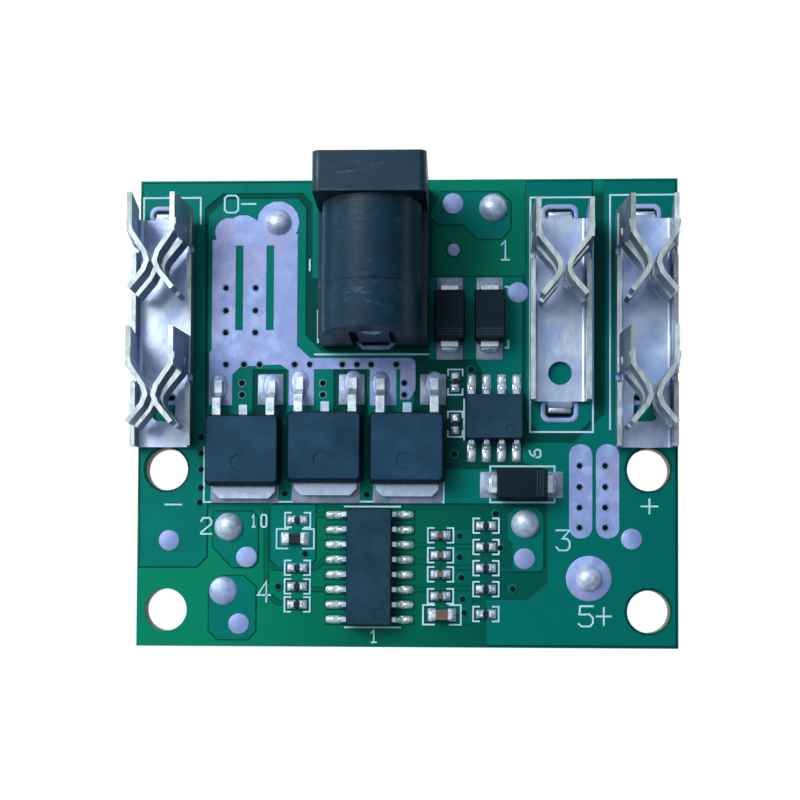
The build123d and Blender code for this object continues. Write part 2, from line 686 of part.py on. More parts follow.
def make_terminal(length, starts, wing_half, tab_w, window):
    """A stamped terminal: channel base, finger pairs and two legs, with its base's front edge at Y 0."""
    mid = SHEET_T / 2
    half = CLIP_W / 2 - mid
    section = eased([(-half, LOW_WALL), (-half, mid), (half, mid), (half, LOW_WALL)], BASE_BEND)
    terminal = extrude(Plane.XZ * band(section, SHEET_T), amount=length, dir=(0, -1, 0))
    for start in starts:
        terminal = terminal - relief_cut(start)
    for start in starts:
        terminal = terminal + finger_pair(start, wing_half)
    front_leg = eased([(-2 * TAB_OUT, mid), (TAB_OUT, mid), (TAB_OUT, leg_z)], TAB_BEND)
    terminal = terminal + folded(Plane.YZ, front_leg, SHEET_T, tab_w)
    if window:
        rear = -WINDOW_Y - mid
        hole = Pos(0, -WINDOW_Y - WINDOW_L / 2) * RectangleRounded(WINDOW_W, WINDOW_L, WINDOW_CORNER)
        terminal = terminal - extrude(hole, amount=SHEET_T)
    else:
        rear = -length - TAB_OUT
        terminal = terminal - Pos(0, -EYE_Y, mid) * Cylinder(EYE_D / 2, 2 * SHEET_T)
    rear_leg = eased([(rear + TAB_REACH, mid), (rear, mid), (rear, leg_z)], TAB_BEND)
    return terminal + folded(Plane.YZ, rear_leg, SHEET_T, tab_w)


def along_y(r, y0, y1):
    """A round bar on the jack's axis."""
    return Pos(0, (y0 + y1) / 2, JACK_AXIS_H) * Rot(90, 0, 0) * Cylinder(r, abs(y1 - y0))


def make_jack_housing():
    """The moulded housing, with its mouth at Y 0."""
    half = JACK_W / 2
    flange = block(-half, half, -JACK_FLANGE, 0, 0, JACK_H)
    flange = fillet(flange.edges().filter_by(Axis.Y).group_by(Axis.Z)[-1], JACK_EDGE_R)
    lower = block(-half, half, -JACK_L, -JACK_FLANGE, 0, JACK_LEDGE_H)
    barrel = block(-JACK_BARREL_R, JACK_BARREL_R, -JACK_L, -JACK_FLANGE, 0, JACK_AXIS_H)
    barrel = barrel + along_y(JACK_BARREL_R, -JACK_L, -JACK_FLANGE)
    bore = along_y(JACK_BORE_D / 2, -JACK_BORE_L, 0)
    mouth = Pos(0, -JACK_MOUTH / 2, JACK_AXIS_H) * Rot(-90, 0, 0) * Cone(
        JACK_BORE_D / 2, JACK_BORE_D / 2 + JACK_MOUTH, JACK_MOUTH
    )
    shank = along_y(JACK_SHANK_D / 2, -JACK_L, -JACK_BORE_L)
    recess = block(
        -JACK_RECESS_W / 2, JACK_RECESS_W / 2, -JACK_L, -JACK_L + JACK_RECESS, 0, JACK_STRIP_TOP + JACK_GAP
    )
    side = JACK_LEAF_W / 2 + JACK_GAP
    leaf = block(-side, side, -JACK_SLEEVE_LEG - JACK_LEAF_T, -JACK_FLANGE + JACK_POCKET, 0, JACK_POCKET_TOP)
    switch = block(
        JACK_SWITCH_IN, JACK_SWITCH_X + JACK_LEAF_T, -JACK_SWITCH_LEG - side, -JACK_SWITCH_LEG + side, 0,
        JACK_SWITCH_TOP,
    )
    return flange + lower + barrel - bore - mouth - shank - recess - leaf - switch


def make_jack_pin():
    """The turned centre pin: blunt tip, body, thin shank through the rear wall and riveted head."""
    r, shank = JACK_PIN_D / 2, JACK_SHANK_D / 2
    head = -JACK_L + JACK_RECESS - JACK_STRIP_T
    profile = [
        (0, head - RIVET_H), (r - RIVET_H, head - RIVET_H), (r, head), (shank, head), (shank, -JACK_BORE_L),
        (r, -JACK_BORE_L), (r, -JACK_PIN_SET - 0.5 * r), (0.5 * r, -JACK_PIN_SET), (0, -JACK_PIN_SET),
    ]
    return Pos(0, 0, JACK_AXIS_H) * revolve(Polygon(*profile, align=None), axis=Axis.Y)


def make_jack_rear_terminal():
    """The flat strip behind the housing: wide head, foot on the board and leg through it."""
    w, top = JACK_STRIP_W / 2, JACK_STRIP_TOP
    wide = w + JACK_HEAD_OUT
    right = [
        (wide, top), (w, top - JACK_HEAD_H), (w, JACK_FOOT_H), (wide, JACK_FOOT_H), (wide, 0),
        (JACK_LEG_W / 2, 0), (JACK_LEG_W / 2, leg_z),
    ]
    left = [(-x, z) for x, z in reversed(right)]
    sheet = extrude(Plane.XZ * Polygon(*right, *left, align=None), amount=JACK_STRIP_T, dir=(0, -1, 0))
    strip = Pos(0, -JACK_L + JACK_RECESS, 0) * sheet
    return strip - along_y(JACK_SHANK_D / 2, -JACK_L, -JACK_BORE_L)


def make_jack_sleeve_spring():
    """The leaf that presses on the plug's sleeve from below the bore."""
    low = JACK_SPRING_TOP - JACK_SPRING_RISE
    crest = -JACK_SLEEVE_LEG + JACK_SPRING_RUN
    line = [
        (-JACK_SLEEVE_LEG, leg_z), (-JACK_SLEEVE_LEG, low), (crest, JACK_SPRING_TOP),
        (crest + JACK_SPRING_TIP, low + JACK_SPRING_RISE / 2),
    ]
    return folded(Plane.YZ, line, JACK_LEAF_T, JACK_LEAF_W)


def make_jack_switch_contact():
    """The fixed contact at the jack's side, with its tongue below the bore."""
    line = [
        (JACK_SWITCH_X, leg_z), (JACK_SWITCH_X, JACK_TONGUE_H), (JACK_SWITCH_IN + 2 * JACK_GAP, JACK_TONGUE_H),
    ]
    return Pos(0, -JACK_SWITCH_LEG, 0) * folded(Plane.XZ, line, JACK_LEAF_T, JACK_LEAF_W)


def fet_leads():
    """The two outer leads, bent down to their feet."""
    y0, y1 = FET_TAB_OUT + FET_L - FET_LEAD_IN, FET_TAB_OUT + FET_L + FET_LEAD_OUT
    mid = FET_TAB_T / 2
    line = [(y0, FET_LEAD_H), (y1 - FET_FOOT - FET_DROP, FET_LEAD_H), (y1 - FET_FOOT, mid), (y1, mid)]
    lead = folded(Plane.YZ, line, FET_TAB_T, FET_LEAD_W)
    return [Pos(sign * FET_LEAD_PITCH / 2, 0, 0) * lead for sign in (-1, 1)]


def fet_tab():
    """The copper tab under the body, with the clipped middle lead that rises from it."""
    half = FET_TAB_W / 2
    outline = [
        (-half, FET_TAB_CHAMFER), (-half + FET_TAB_CHAMFER, 0), (half - FET_TAB_CHAMFER, 0),
        (half, FET_TAB_CHAMFER), (half, FET_TAB_IN), (-half, FET_TAB_IN),
    ]
    flat = prism(outline, FET_TAB_T)
    mid = FET_TAB_T / 2
    out = FET_TAB_OUT + FET_L + FET_STUB_OUT
    line = [
        (FET_TAB_IN - FET_STUB_LAP, mid), (FET_TAB_IN + FET_STUB_FLAT, mid),
        (FET_TAB_IN + FET_STUB_RISE, FET_LEAD_H), (out, FET_LEAD_H),
    ]
    return flat + folded(Plane.YZ, line, FET_TAB_T, FET_LEAD_W)


def fet_body():
    """The moulded body over the tab and the inner ends of the leads, with its ejector dimple."""
    body = Pos(0, FET_TAB_OUT + FET_L / 2, 0) * moulded(FET_W, FET_L, FET_CLEAR, FET_LEAD_H, FET_H, FET_DRAFT)
    x, y, d = FET_DIMPLE
    dimple = disc(x, FET_TAB_OUT + y, d, FET_H - DIMPLE_T, FET_H + DIMPLE_T)
    return body - fet_tab() - fet_leads() - dimple


def gull_lead():
    """One lead of an integrated circuit, pointing to +X from inside the body."""
    inside = CHIP_BODY_W / 2 - LEAD_IN
    tip = LEAD_SPAN / 2
    high = CHIP_BODY_H / 2 + LEAD_RAISE
    low = LEAD_T / 2
    line = [(inside, high), (tip - LEAD_FOOT - LEAD_DROP, high), (tip - LEAD_FOOT, low), (tip, low)]
    return folded(Plane.XZ, line, LEAD_T, LEAD_W)


def gull_leads(pins):
    """All leads of an integrated circuit, along its two long sides."""
    right = [Pos(0, (i - (pins - 1) / 2) * LEAD_PITCH, 0) * gull_lead() for i in range(pins)]
    return right + [Rot(0, 0, 180) * lead for lead in right]


def chip_body(length, pins, dimple):
    """The moulded body of an integrated circuit, with its first-pin dimple."""
    body = moulded(CHIP_BODY_W, length, CHIP_STANDOFF, CHIP_BODY_H / 2 + LEAD_RAISE, CHIP_BODY_H, CHIP_DRAFT)
    body = body - gull_leads(pins)
    return body - disc(*dimple, CHIP_BODY_H - DIMPLE_T, CHIP_BODY_H + DIMPLE_T)


def diode_leads():
    """The two terminals, bent down the ends and under the body."""
    tip = DIODE_SPAN / 2 - DIODE_LEAD_T / 2
    low = DIODE_LEAD_T / 2
    line = [(DIODE_L / 2 - DIODE_LEAD_IN, DIODE_H / 2), (tip, DIODE_H / 2), (tip, low), (tip - DIODE_FOOT, low)]
    lead = folded(Plane.XZ, line, DIODE_LEAD_T, DIODE_LEAD_W)
    return [lead, Rot(0, 0, 180) * lead]


def diode_body():
    """The moulded diode body, lying along X."""
    body = moulded(DIODE_L, DIODE_W, DIODE_STANDOFF, DIODE_H / 2, DIODE_H, DIODE_DRAFT)
    return body - diode_leads()


def chip(size, height, along_x):
    """A chip's ceramic middle and its two end caps, lying along X or Y."""
    length, width, cap = size
    inner = length / 2 - cap
    turn = Rot(0, 0, 0 if along_x else 90)
    ceramic = turn * block(-inner, inner, -width / 2, width / 2, 0, height)
    caps = [turn * block(*sorted((s * inner, s * length / 2)), -width / 2, width / 2, 0, height) for s in (-1, 1)]
    return ceramic, caps


def dome(x, y, d, height):
    """A blob of solder on a pad, in two tapered steps."""
    step = height * DOME_STEP
    waist = d / 2 - step * math.tan(math.radians(DOME_TAPERS[0]))
    lower = extrude(RegularPolygon(d / 2, DISC_SIDES), amount=step, taper=DOME_TAPERS[0])
    upper = extrude(RegularPolygon(waist, DISC_SIDES), amount=height - step, taper=DOME_TAPERS[1])
    return Pos(x, y, seat_z) * (lower + Pos(0, 0, step) * upper)


def leg_joint(x, y, w, t, y0, y1):
    """The solder under the board round one leg, sloping from the slot to the leg."""
    mound = Pos(0, 0, -JOINT_H) * prism(leg_slot(x, w, y0, y1, RING_W), JOINT_H)
    mound = chamfer(mound.faces().sort_by(Axis.Z)[0].edges(), JOINT_SLOPE)
    return mound - block(x - w / 2, x + w / 2, y - t / 2, y + t / 2, -BOARD_T, BOARD_T)


def build():
    """Every named piece of the board."""
    nodes = {"circuit_board": make_board(), "copper_pours": make_copper(), "tinned_pads": make_pads()}

    left_clip = make_terminal(LONG_CLIP_L, LEFT_PAIRS, LONG_WING_HALF, LONG_TAB_W, True)
    middle_clip = make_terminal(SHORT_CLIP_L, MIDDLE_PAIR, SHORT_WING_HALF, SHORT_TAB_W, False)
    right_clip = make_terminal(LONG_CLIP_L, RIGHT_PAIRS, LONG_WING_HALF, LONG_TAB_W, True)
    nodes["negative_terminal"] = place(left_clip, left_clip_x, clip_y)
    nodes["charge_terminal"] = place(middle_clip, mid_clip_x, clip_y)
    nodes["positive_terminal"] = place(right_clip, right_clip_x, clip_y)

    jack = {
        "jack_housing": make_jack_housing(), "jack_centre_pin": make_jack_pin(),
        "jack_rear_terminal": make_jack_rear_terminal(), "jack_sleeve_spring": make_jack_sleeve_spring(),
        "jack_switch_contact": make_jack_switch_contact(),
    }
    for name, piece in jack.items():
        nodes[name] = place(piece, JACK_X, jack_front_y)

    for i, x in enumerate(fet_x):
        y = tab_y + FET_SETBACKS[i]
        nodes[f"transistor_{i + 1}_body"] = place(fet_body(), x, y)
        nodes[f"transistor_{i + 1}_tab"] = place(fet_tab(), x, y)
        nodes[f"transistor_{i + 1}_leads"] = place(group(fet_leads()), x, y)

    controller = chip_body(CONTROLLER_L, CONTROLLER_PINS, CONTROLLER_DIMPLE)
    nodes["controller_body"] = place(controller, controller_x, controller_y)
    nodes["controller_leads"] = place(group(gull_leads(CONTROLLER_PINS)), controller_x, controller_y)
    switch_turn = Rot(0, 0, 90)
    switch = switch_turn * chip_body(SWITCH_L, SWITCH_PINS, SWITCH_DIMPLE)
    nodes["charge_switch_body"] = place(switch, switch_x, switch_y)
    nodes["charge_switch_leads"] = place(switch_turn * group(gull_leads(SWITCH_PINS)), switch_x, switch_y)

    diodes = ((diode_1_x, diode_y, 90), (diode_2_x, diode_y, 90), (diode_3_x, diode_3_y, 0))
    for i, (x, y, angle) in enumerate(diodes):
        nodes[f"diode_{i + 1}_body"] = place(Rot(0, 0, angle) * diode_body(), x, y)
        nodes[f"diode_{i + 1}_terminals"] = place(Rot(0, 0, angle) * group(diode_leads()), x, y)

    chips = (
        ("resistor", resistors, SMALL_RESISTOR_H, LARGE_RESISTOR_H),
        ("capacitor", capacitors, SMALL_CAPACITOR_H, LARGE_CAPACITOR_H),
    )
    for kind, places, small_h, large_h in chips:
        caps = []
        for i, (x, y, size, along_x) in enumerate(places):
            ceramic, ends = chip(size, large_h if size == LARGE_CHIP else small_h, along_x)
            nodes[f"{kind}_{i + 1}"] = place(ceramic, x, y)
            caps += [place(end, x, y) for end in ends]
        nodes[f"{kind}_end_caps"] = group(caps)

    domes = []
    for name, (x, y, d) in taps.items():
        width = MAIN_DOME_D if name in ("minus", "plus") else d
        domes.append(dome(x, y, width, LOW_DOME_H if name == "four" else DOME_H))
    nodes["cell_tap_solder"] = group(domes)
    nodes["leg_solder"] = group([leg_joint(*leg) for leg in legs])
    return nodes


for node, shape in build().items():
    export_step(shape, f"parts/{node}.step")
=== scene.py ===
import math

import bmesh
import bpy
from mathutils import Matrix, Vector


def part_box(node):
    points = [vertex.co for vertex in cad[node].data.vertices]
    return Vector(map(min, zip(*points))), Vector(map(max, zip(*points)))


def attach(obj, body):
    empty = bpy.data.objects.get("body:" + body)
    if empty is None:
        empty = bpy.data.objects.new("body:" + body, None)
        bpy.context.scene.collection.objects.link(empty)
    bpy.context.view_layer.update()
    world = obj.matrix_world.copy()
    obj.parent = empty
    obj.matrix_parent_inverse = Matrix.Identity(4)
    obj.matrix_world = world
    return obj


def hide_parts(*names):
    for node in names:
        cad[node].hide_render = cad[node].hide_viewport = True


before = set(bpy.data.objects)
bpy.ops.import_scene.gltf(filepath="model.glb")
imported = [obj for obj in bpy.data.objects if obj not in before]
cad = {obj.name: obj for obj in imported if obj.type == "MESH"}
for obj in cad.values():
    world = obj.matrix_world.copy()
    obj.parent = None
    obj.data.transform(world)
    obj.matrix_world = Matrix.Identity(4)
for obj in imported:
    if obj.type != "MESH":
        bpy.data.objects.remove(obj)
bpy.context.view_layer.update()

# Everything below is written in millimetres and turned into metres where it meets Blender
MM = 0.001
# Heights over the laminate's underside
LEG_TIP = -1.2
BOARD_TOP = 1.6
MASK_TOP = 1.66
INK_TOP = 1.685
TIN_TOP = 1.70
# Where the jack's mould line crosses the barrel
JACK_LINE_Y = 20.2


# Materials

def linear(tone):
    """A tone of 0 to 255 as Blender's linear colour."""
    shares = [c / 255 for c in tone]
    return tuple(s / 12.92 if s <= 0.04045 else ((s + 0.055) / 1.055) ** 2.4 for s in shares) + (1.0,)


def add_node(tree, kind, inputs, **settings):
    """A new node with its settings, and each input linked to a socket or set to a value."""
    node = tree.nodes.new(kind)
    for key, value in settings.items():
        setattr(node, key, value)
    for key, value in inputs.items():
        if isinstance(value, bpy.types.NodeSocket):
            tree.links.new(value, node.inputs[key])
        else:
            node.inputs[key].default_value = value
    return node


def maths(tree, operation, *values):
    """The result of one sum on sockets or values."""
    return add_node(tree, "ShaderNodeMath", dict(enumerate(values)), operation=operation).outputs["Value"]


class Finish:
    """One procedural material, put together from named steps."""

    def __init__(self, name, rough=0.5, metal=0.0, specular=0.5):
        self.material = bpy.data.materials.new(name)
        self.material.use_nodes = True
        self.tree = self.material.node_tree
        self.tree.nodes.clear()
        self.out = self.tree.nodes.new("ShaderNodeOutputMaterial")
        self.shader = self.tree.nodes.new("ShaderNodeBsdfPrincipled")
        self.tree.links.new(self.shader.outputs["BSDF"], self.out.inputs["Surface"])
        self.shader.inputs["Roughness"].default_value = rough
        self.shader.inputs["Metallic"].default_value = metal
        self.shader.inputs["Specular IOR Level"].default_value = specular
        self.place = self.tree.nodes.new("ShaderNodeTexCoord").outputs["Object"]

    def add(self, kind, inputs, **settings):
        return add_node(self.tree, kind, inputs, **settings)

    def noise(self, size, detail=3.0, rough=0.5, stretch=(1, 1, 1)):
        """Cloudy noise whose lumps are about size millimetres across."""
        place = self.add("ShaderNodeMapping", {"Vector": self.place, "Scale": stretch}).outputs["Vector"]
        made = self.add("ShaderNodeTexNoise", {
            "Vector": place, "Scale": 1 / (size * MM), "Detail": detail, "Roughness": rough})
        return made.outputs["Fac"]

    def ramp(self, fac, low, high, start=0.0, end=1.0):
        """fac between start and end, spread over low to high."""
        made = self.add("ShaderNodeMapRange", {
            "Value": fac, "From Min": start, "From Max": end, "To Min": low, "To Max": high})
        return made.outputs["Result"]

    def mix(self, fac, first, second):
        """The first colour where fac is 0 and the second where it is 1."""
        return self.add("ShaderNodeMix", {0: fac, 6: first, 7: second}, data_type="RGBA").outputs[2]

    def height(self, fac, depth, over=None):
        """A bump of about depth millimetres, laid over another one when given."""
        inputs = {"Height": fac, "Strength": 1.0, "Distance": depth * MM}
        if over is not None:
            inputs["Normal"] = over
        return self.add("ShaderNodeBump", inputs).outputs["Normal"]

    def axis(self, letter):
        """The place along one axis, in metres."""
        return self.add("ShaderNodeSeparateXYZ", {"Vector": self.place}).outputs[letter]

    def times(self, first, second):
        return maths(self.tree, "MULTIPLY", first, second)

    def facing(self, letter):
        """One component of the surface's normal."""
        normal = self.add("ShaderNodeNewGeometry", {}).outputs["Normal"]
        return self.add("ShaderNodeSeparateXYZ", {"Vector": normal}).outputs[letter]

    def upward(self, tilt=0.6):
        """1 where the surface looks up or down, 0 on the sides."""
        return self.ramp(maths(self.tree, "ABSOLUTE", self.facing("Z")), 0.0, 1.0, tilt - 0.1, tilt + 0.1)

    def set(self, colour, rough=None, normal=None):
        """Links the finished sockets to the shader and gives the material."""
        for key, value in (("Base Color", colour), ("Roughness", rough), ("Normal", normal)):
            if value is not None:
                self.tree.links.new(value, self.shader.inputs[key])
        return self.material


def mask_look(f, colour, grain):
    """Adds the lacquer's soft unevenness and the faint weave of the glass cloth."""
    weave = f.noise(0.45, 2.0, 0.5, (1, 3, 1))
    normal = f.height(weave, 0.005, f.height(grain, 0.03))
    return f.set(colour, f.ramp(grain, 0.3, 0.42, 0.3, 0.7), normal)


def copper_mask_finish(name, dark, light, right):
    """Green lacquer over copper, with painted shade that deepens it towards the right, where the light falls
    off.
    """
    f = Finish(name, rough=0.35, specular=0.04)
    grain = f.noise(2.8, 3.0, 0.55)
    colour = f.mix(f.ramp(grain, 0.0, 1.0, 0.3, 0.7), linear(dark), linear(light))
    # Painted shade: the colour darkens from left to right as the light falls off
    colour = f.mix(f.ramp(f.axis("X"), 0.0, 0.85, -8 * MM, 20 * MM), colour, linear(right))
    return mask_look(f, colour, grain)


def laminate_finish(name):
    """Lacquer over bare laminate, with painted light in the wide bare areas, as of light shining through the
    laminate, painted shade in the narrow gaps, and the painted light dimming from left to right.
    """
    f = Finish(name, rough=0.35, specular=0.04)
    grain = f.noise(2.8, 3.0, 0.55)
    x, y = f.axis("X"), f.axis("Y")
    # Painted light in the wide bare areas, dimming from left to right
    glow = f.mix(f.ramp(x, 0.0, 1.0, -16 * MM, -3 * MM), linear((2, 133, 98)), linear((0, 103, 79)))
    glow = f.mix(f.ramp(x, 0.0, 1.0, 0.5 * MM, 8 * MM), glow, linear((0, 86, 76)))
    low = f.ramp(y, 1.0, 0.0, 2.2 * MM, 3.4 * MM)
    top = f.ramp(y, 0.0, 1.0, 29.5 * MM, 30.1 * MM)
    painted_light_beside = f.times(f.ramp(x, 0.0, 1.0, 2.0 * MM, 2.6 * MM), f.ramp(x, 1.0, 0.0, 9.9 * MM, 10.5 * MM))
    painted_light_beside = f.times(painted_light_beside, f.ramp(y, 0.0, 1.0, 21.9 * MM, 22.7 * MM))
    # Painted shade in the narrow gaps, and painted light below y 3.4 mm, at x 2 to 10.5 mm above y 22 mm, and
    # above y 30 mm
    colour = f.mix(low, linear((3, 73, 68)), glow)
    colour = f.mix(painted_light_beside, colour, linear((0, 113, 88)))
    colour = f.mix(top, colour, linear((2, 124, 100)))
    fibre = f.noise(0.35, 4.0, 0.6, (1, 1, 4))
    edge = f.mix(f.ramp(fibre, 0.0, 1.0, 0.3, 0.7), linear((92, 92, 62)), linear((150, 144, 108)))
    colour = f.mix(f.upward(), edge, colour)
    return mask_look(f, colour, grain)


def tin_finish(name, dark, mid, light, size, depth, rough, metal, dull=0.0):
    """Dipped tin: cloudy blotches, fine grain and soft lumps."""
    f = Finish(name, rough=rough, metal=metal, specular=0.5)
    blotch = f.noise(size, 4.0, 0.6)
    fine = f.noise(size * 0.16, 4.0, 0.65)
    colour = f.mix(f.ramp(blotch, 0.0, 1.0, 0.32, 0.55), linear(dark), linear(mid))
    colour = f.mix(f.ramp(blotch, 0.0, 1.0, 0.5, 0.72), colour, linear(light))
    colour = f.mix(f.ramp(fine, 0.0, 0.35, 0.5, 0.85), colour, linear(dark))
    colour = f.mix(f.ramp(f.noise(7.0, 1.0), 0.0, dull, 0.46, 0.64), colour, linear(dark))
    colour = f.mix(f.ramp(f.noise(2.9, 3.0), 0.0, dull * 0.6, 0.5, 0.66), colour, linear((172, 160, 200)))
    normal = f.height(fine, depth * 0.15, f.height(blotch, depth))
    return f.set(colour, f.ramp(fine, rough - 0.08, rough + 0.12, 0.3, 0.7), normal)


def sheet_finish(name):
    """Tinned spring sheet: stained and streaked, with a pale painted highlight on its raised upper faces and
    painted shade on its flanks.
    """
    f = Finish(name, metal=0.86)
    stain = f.noise(2.6, 3.0, 0.55)
    patch = f.noise(0.8, 3.0, 0.6, (1.6, 0.7, 1.0))
    streak = f.noise(0.5, 3.0, 0.6, (3.0, 0.35, 1.0))
    fine = f.noise(0.12, 3.0, 0.6)
    colour = f.mix(f.ramp(stain, 0.0, 1.0, 0.35, 0.62), linear((164, 184, 224)), linear((202, 216, 234)))
    colour = f.mix(f.ramp(patch, 0.0, 0.5, 0.5, 0.68), colour, linear((178, 190, 228)))
    colour = f.mix(f.ramp(streak, 0.0, 0.3, 0.58, 0.74), colour, linear((124, 140, 164)))
    # Painted highlight: the upward faces above about 2.7 mm are paler, where the light would catch the
    # sheet's edges
    raised = f.times(f.ramp(f.axis("Z"), 0.0, 1.0, 2.5 * MM, 2.9 * MM), f.upward(0.5))
    painted_edge_highlight = f.mix(f.ramp(patch, 0.0, 1.0, 0.35, 0.65), linear((162, 176, 180)), linear((206, 216, 216)))
    # Painted shade: the flanks are mixed half way to a dark grey
    colour = f.mix(f.upward(0.35), f.mix(0.5, colour, linear((96, 114, 120))), colour)
    colour = f.mix(raised, colour, painted_edge_highlight)
    normal = f.height(fine, 0.002, f.height(patch, 0.012, f.height(stain, 0.07)))
    rough = maths(f.tree, "ADD", f.ramp(stain, 0.34, 0.46, 0.35, 0.7), f.times(raised, 0.16))
    return f.set(colour, rough, normal)


def moulded_finish(name, dark, light, speckle, rough, depth, specular=0.4, sides=None):
    """Moulded epoxy or plastic: fine grain with paler specks, and painted shade on the flanks when a sides
    tone is given.
    """
    f = Finish(name, rough=rough, specular=specular)
    cloud = f.noise(2.4, 4.0, 0.6)
    fine = f.noise(0.14, 4.0, 0.7)
    colour = f.mix(f.ramp(cloud, 0.0, 1.0, 0.3, 0.7), linear(dark), linear(light))
    colour = f.mix(f.ramp(fine, 0.0, 0.5, 0.6, 0.8), colour, linear(speckle))
    # Painted shade: the flanks take the darker sides tone
    if sides:
        colour = f.mix(f.upward(0.86), linear(sides), colour)
    normal = f.height(fine, depth, f.height(cloud, depth * 4))
    return f.set(colour, f.ramp(fine, rough - 0.08, rough + 0.1, 0.3, 0.7), normal)


def lead_finish(name, dark, light):
    """Smooth plated leads with soft stains and a slight roll."""
    f = Finish(name, metal=0.85)
    stain = f.noise(0.8, 3.0, 0.5)
    colour = f.mix(f.ramp(stain, 0.0, 1.0, 0.35, 0.65), linear(dark), linear(light))
    normal = f.height(f.noise(0.3, 2.0, 0.5), 0.004, f.height(stain, 0.012))
    return f.set(colour, f.ramp(stain, 0.26, 0.42, 0.35, 0.7), normal)


def jack_finish(name):
    """Injection-moulded housing, satin, with scuffs, a faint mould line across the barrel, and painted shade
    on the faces turned towards -y.
    """
    f = Finish(name, specular=0.27)
    cloud = f.noise(3.0, 4.0, 0.6)
    fine = f.noise(0.1, 4.0, 0.7)
    scuff = f.noise(0.7, 4.0, 0.7, (0.5, 2.4, 1.0))
    colour = f.mix(f.ramp(cloud, 0.0, 1.0, 0.3, 0.7), linear((14, 46, 63)), linear((22, 57, 76)))
    pale = f.times(f.ramp(scuff, 0.0, 0.7, 0.57, 0.64), f.ramp(cloud, 0.0, 1.0, 0.5, 0.6))
    colour = f.mix(pale, colour, linear((64, 98, 120)))
    deep = f.times(f.ramp(scuff, 0.7, 0.0, 0.36, 0.42), f.ramp(cloud, 0.0, 1.0, 0.48, 0.58))
    colour = f.mix(deep, colour, linear((6, 20, 30)))
    off = maths(f.tree, "ABSOLUTE", maths(f.tree, "ADD", f.axis("Y"), -JACK_LINE_Y * MM))
    seam = f.ramp(off, 1.0, 0.0, 0.03 * MM, 0.09 * MM)
    colour = f.mix(f.times(seam, f.ramp(cloud, 0.3, 0.9, 0.4, 0.6)), colour, linear((8, 22, 34)))
    # Painted shade: the faces turned towards -y, away from the key lamp, are darkened
    painted_front_shade = f.ramp(f.facing("Y"), 1.0, 0.0, -0.9, -0.6)
    colour = f.mix(painted_front_shade, colour, linear((8, 22, 32)))
    normal = f.height(fine, 0.004, f.height(scuff, 0.012))
    return f.set(colour, f.ramp(scuff, 0.3, 0.46, 0.4, 0.7), normal)


finishes = {
    "bare_mask": laminate_finish("bare_mask"),
    # In each lacquer over copper, the last tone is painted shade towards the right
    "copper_mask": copper_mask_finish("copper_mask", (0, 114, 103), (0, 123, 111), (0, 106, 100)),
    # Painted shade along the edges of the copper
    "mask_edge_shade": copper_mask_finish("mask_edge_shade", (0, 76, 68), (0, 82, 73), (0, 72, 68)),
    "tin": tin_finish("tin", (132, 152, 206), (150, 172, 228), (180, 200, 248), 1.6, 0.02, 0.45, 0.25, 0.8),
    "grey_tin": tin_finish("grey_tin", (118, 134, 156), (140, 156, 178), (164, 180, 200),
                           1.0, 0.03, 0.4, 0.4, 0.5),
    "solder": tin_finish("solder", (150, 168, 188), (226, 240, 252), (252, 255, 255), 0.5, 0.05, 0.26, 0.6),
    "terminal_tin": sheet_finish("terminal_tin"),
    "lead_tin": lead_finish("lead_tin", (178, 194, 212), (228, 238, 245)),
    "tab_tin": lead_finish("tab_tin", (176, 192, 214), (190, 206, 228)),
    "shaded_tin": lead_finish("shaded_tin", (58, 74, 82), (112, 128, 136)),
    "puddle": tin_finish("puddle", (128, 146, 188), (146, 166, 208), (170, 190, 226), 0.8, 0.02, 0.38, 0.35),
    "dome": tin_finish("dome", (166, 184, 214), (200, 216, 244), (236, 246, 255), 0.8, 0.05, 0.34, 0.4),
    # The last tone given to each epoxy is painted shade on its flanks
    "fet_epoxy": moulded_finish("fet_epoxy", (18, 54, 76), (32, 74, 100), (60, 106, 132),
                                0.55, 0.012, 0.12, (12, 36, 52)),
    "ic_epoxy": moulded_finish("ic_epoxy", (18, 50, 70), (36, 68, 88), (66, 98, 118),
                               0.6, 0.012, 0.12, (8, 26, 38)),
    "diode_epoxy": moulded_finish("diode_epoxy", (6, 26, 37), (12, 36, 48), (30, 56, 72),
                                  0.5, 0.006, 0.12, (4, 14, 22)),
    "jack_plastic": jack_finish("jack_plastic"),
    "chip_black": moulded_finish("chip_black", (4, 14, 20), (12, 28, 36), (50, 72, 80), 0.3, 0.004, 0.4),
    "chip_tan": moulded_finish("chip_tan", (98, 84, 72), (132, 112, 96), (156, 136, 118), 0.5, 0.004, 0.3),
    "band": moulded_finish("band", (26, 46, 60), (36, 60, 76), (60, 84, 100), 0.5, 0.004, 0.2),
    "trace_mask": copper_mask_finish("trace_mask", (0, 100, 84), (0, 106, 88), (0, 94, 82)),
    # Painted shade along the edges of the narrow copper
    "trace_edge_shade": copper_mask_finish("trace_edge_shade", (0, 82, 68), (0, 88, 72), (0, 74, 66)),
    "collar_tin": tin_finish("collar_tin", (110, 128, 168), (128, 148, 196), (150, 170, 214),
                             0.8, 0.02, 0.45, 0.3),
    "ink": moulded_finish("ink", (160, 210, 232), (204, 238, 250), (226, 248, 255), 0.55, 0.004, 0.2),
    "hole_dark": moulded_finish("hole_dark", (2, 14, 18), (4, 22, 28), (10, 36, 42), 0.7, 0.004, 0.1),
}


def paint(piece, finish):
    """Gives a piece one finish in place of its own."""
    piece.data.materials.clear()
    piece.data.materials.append(finishes[finish])


# Finish and edge rounding of each carried-over node, the rounding in millimetres

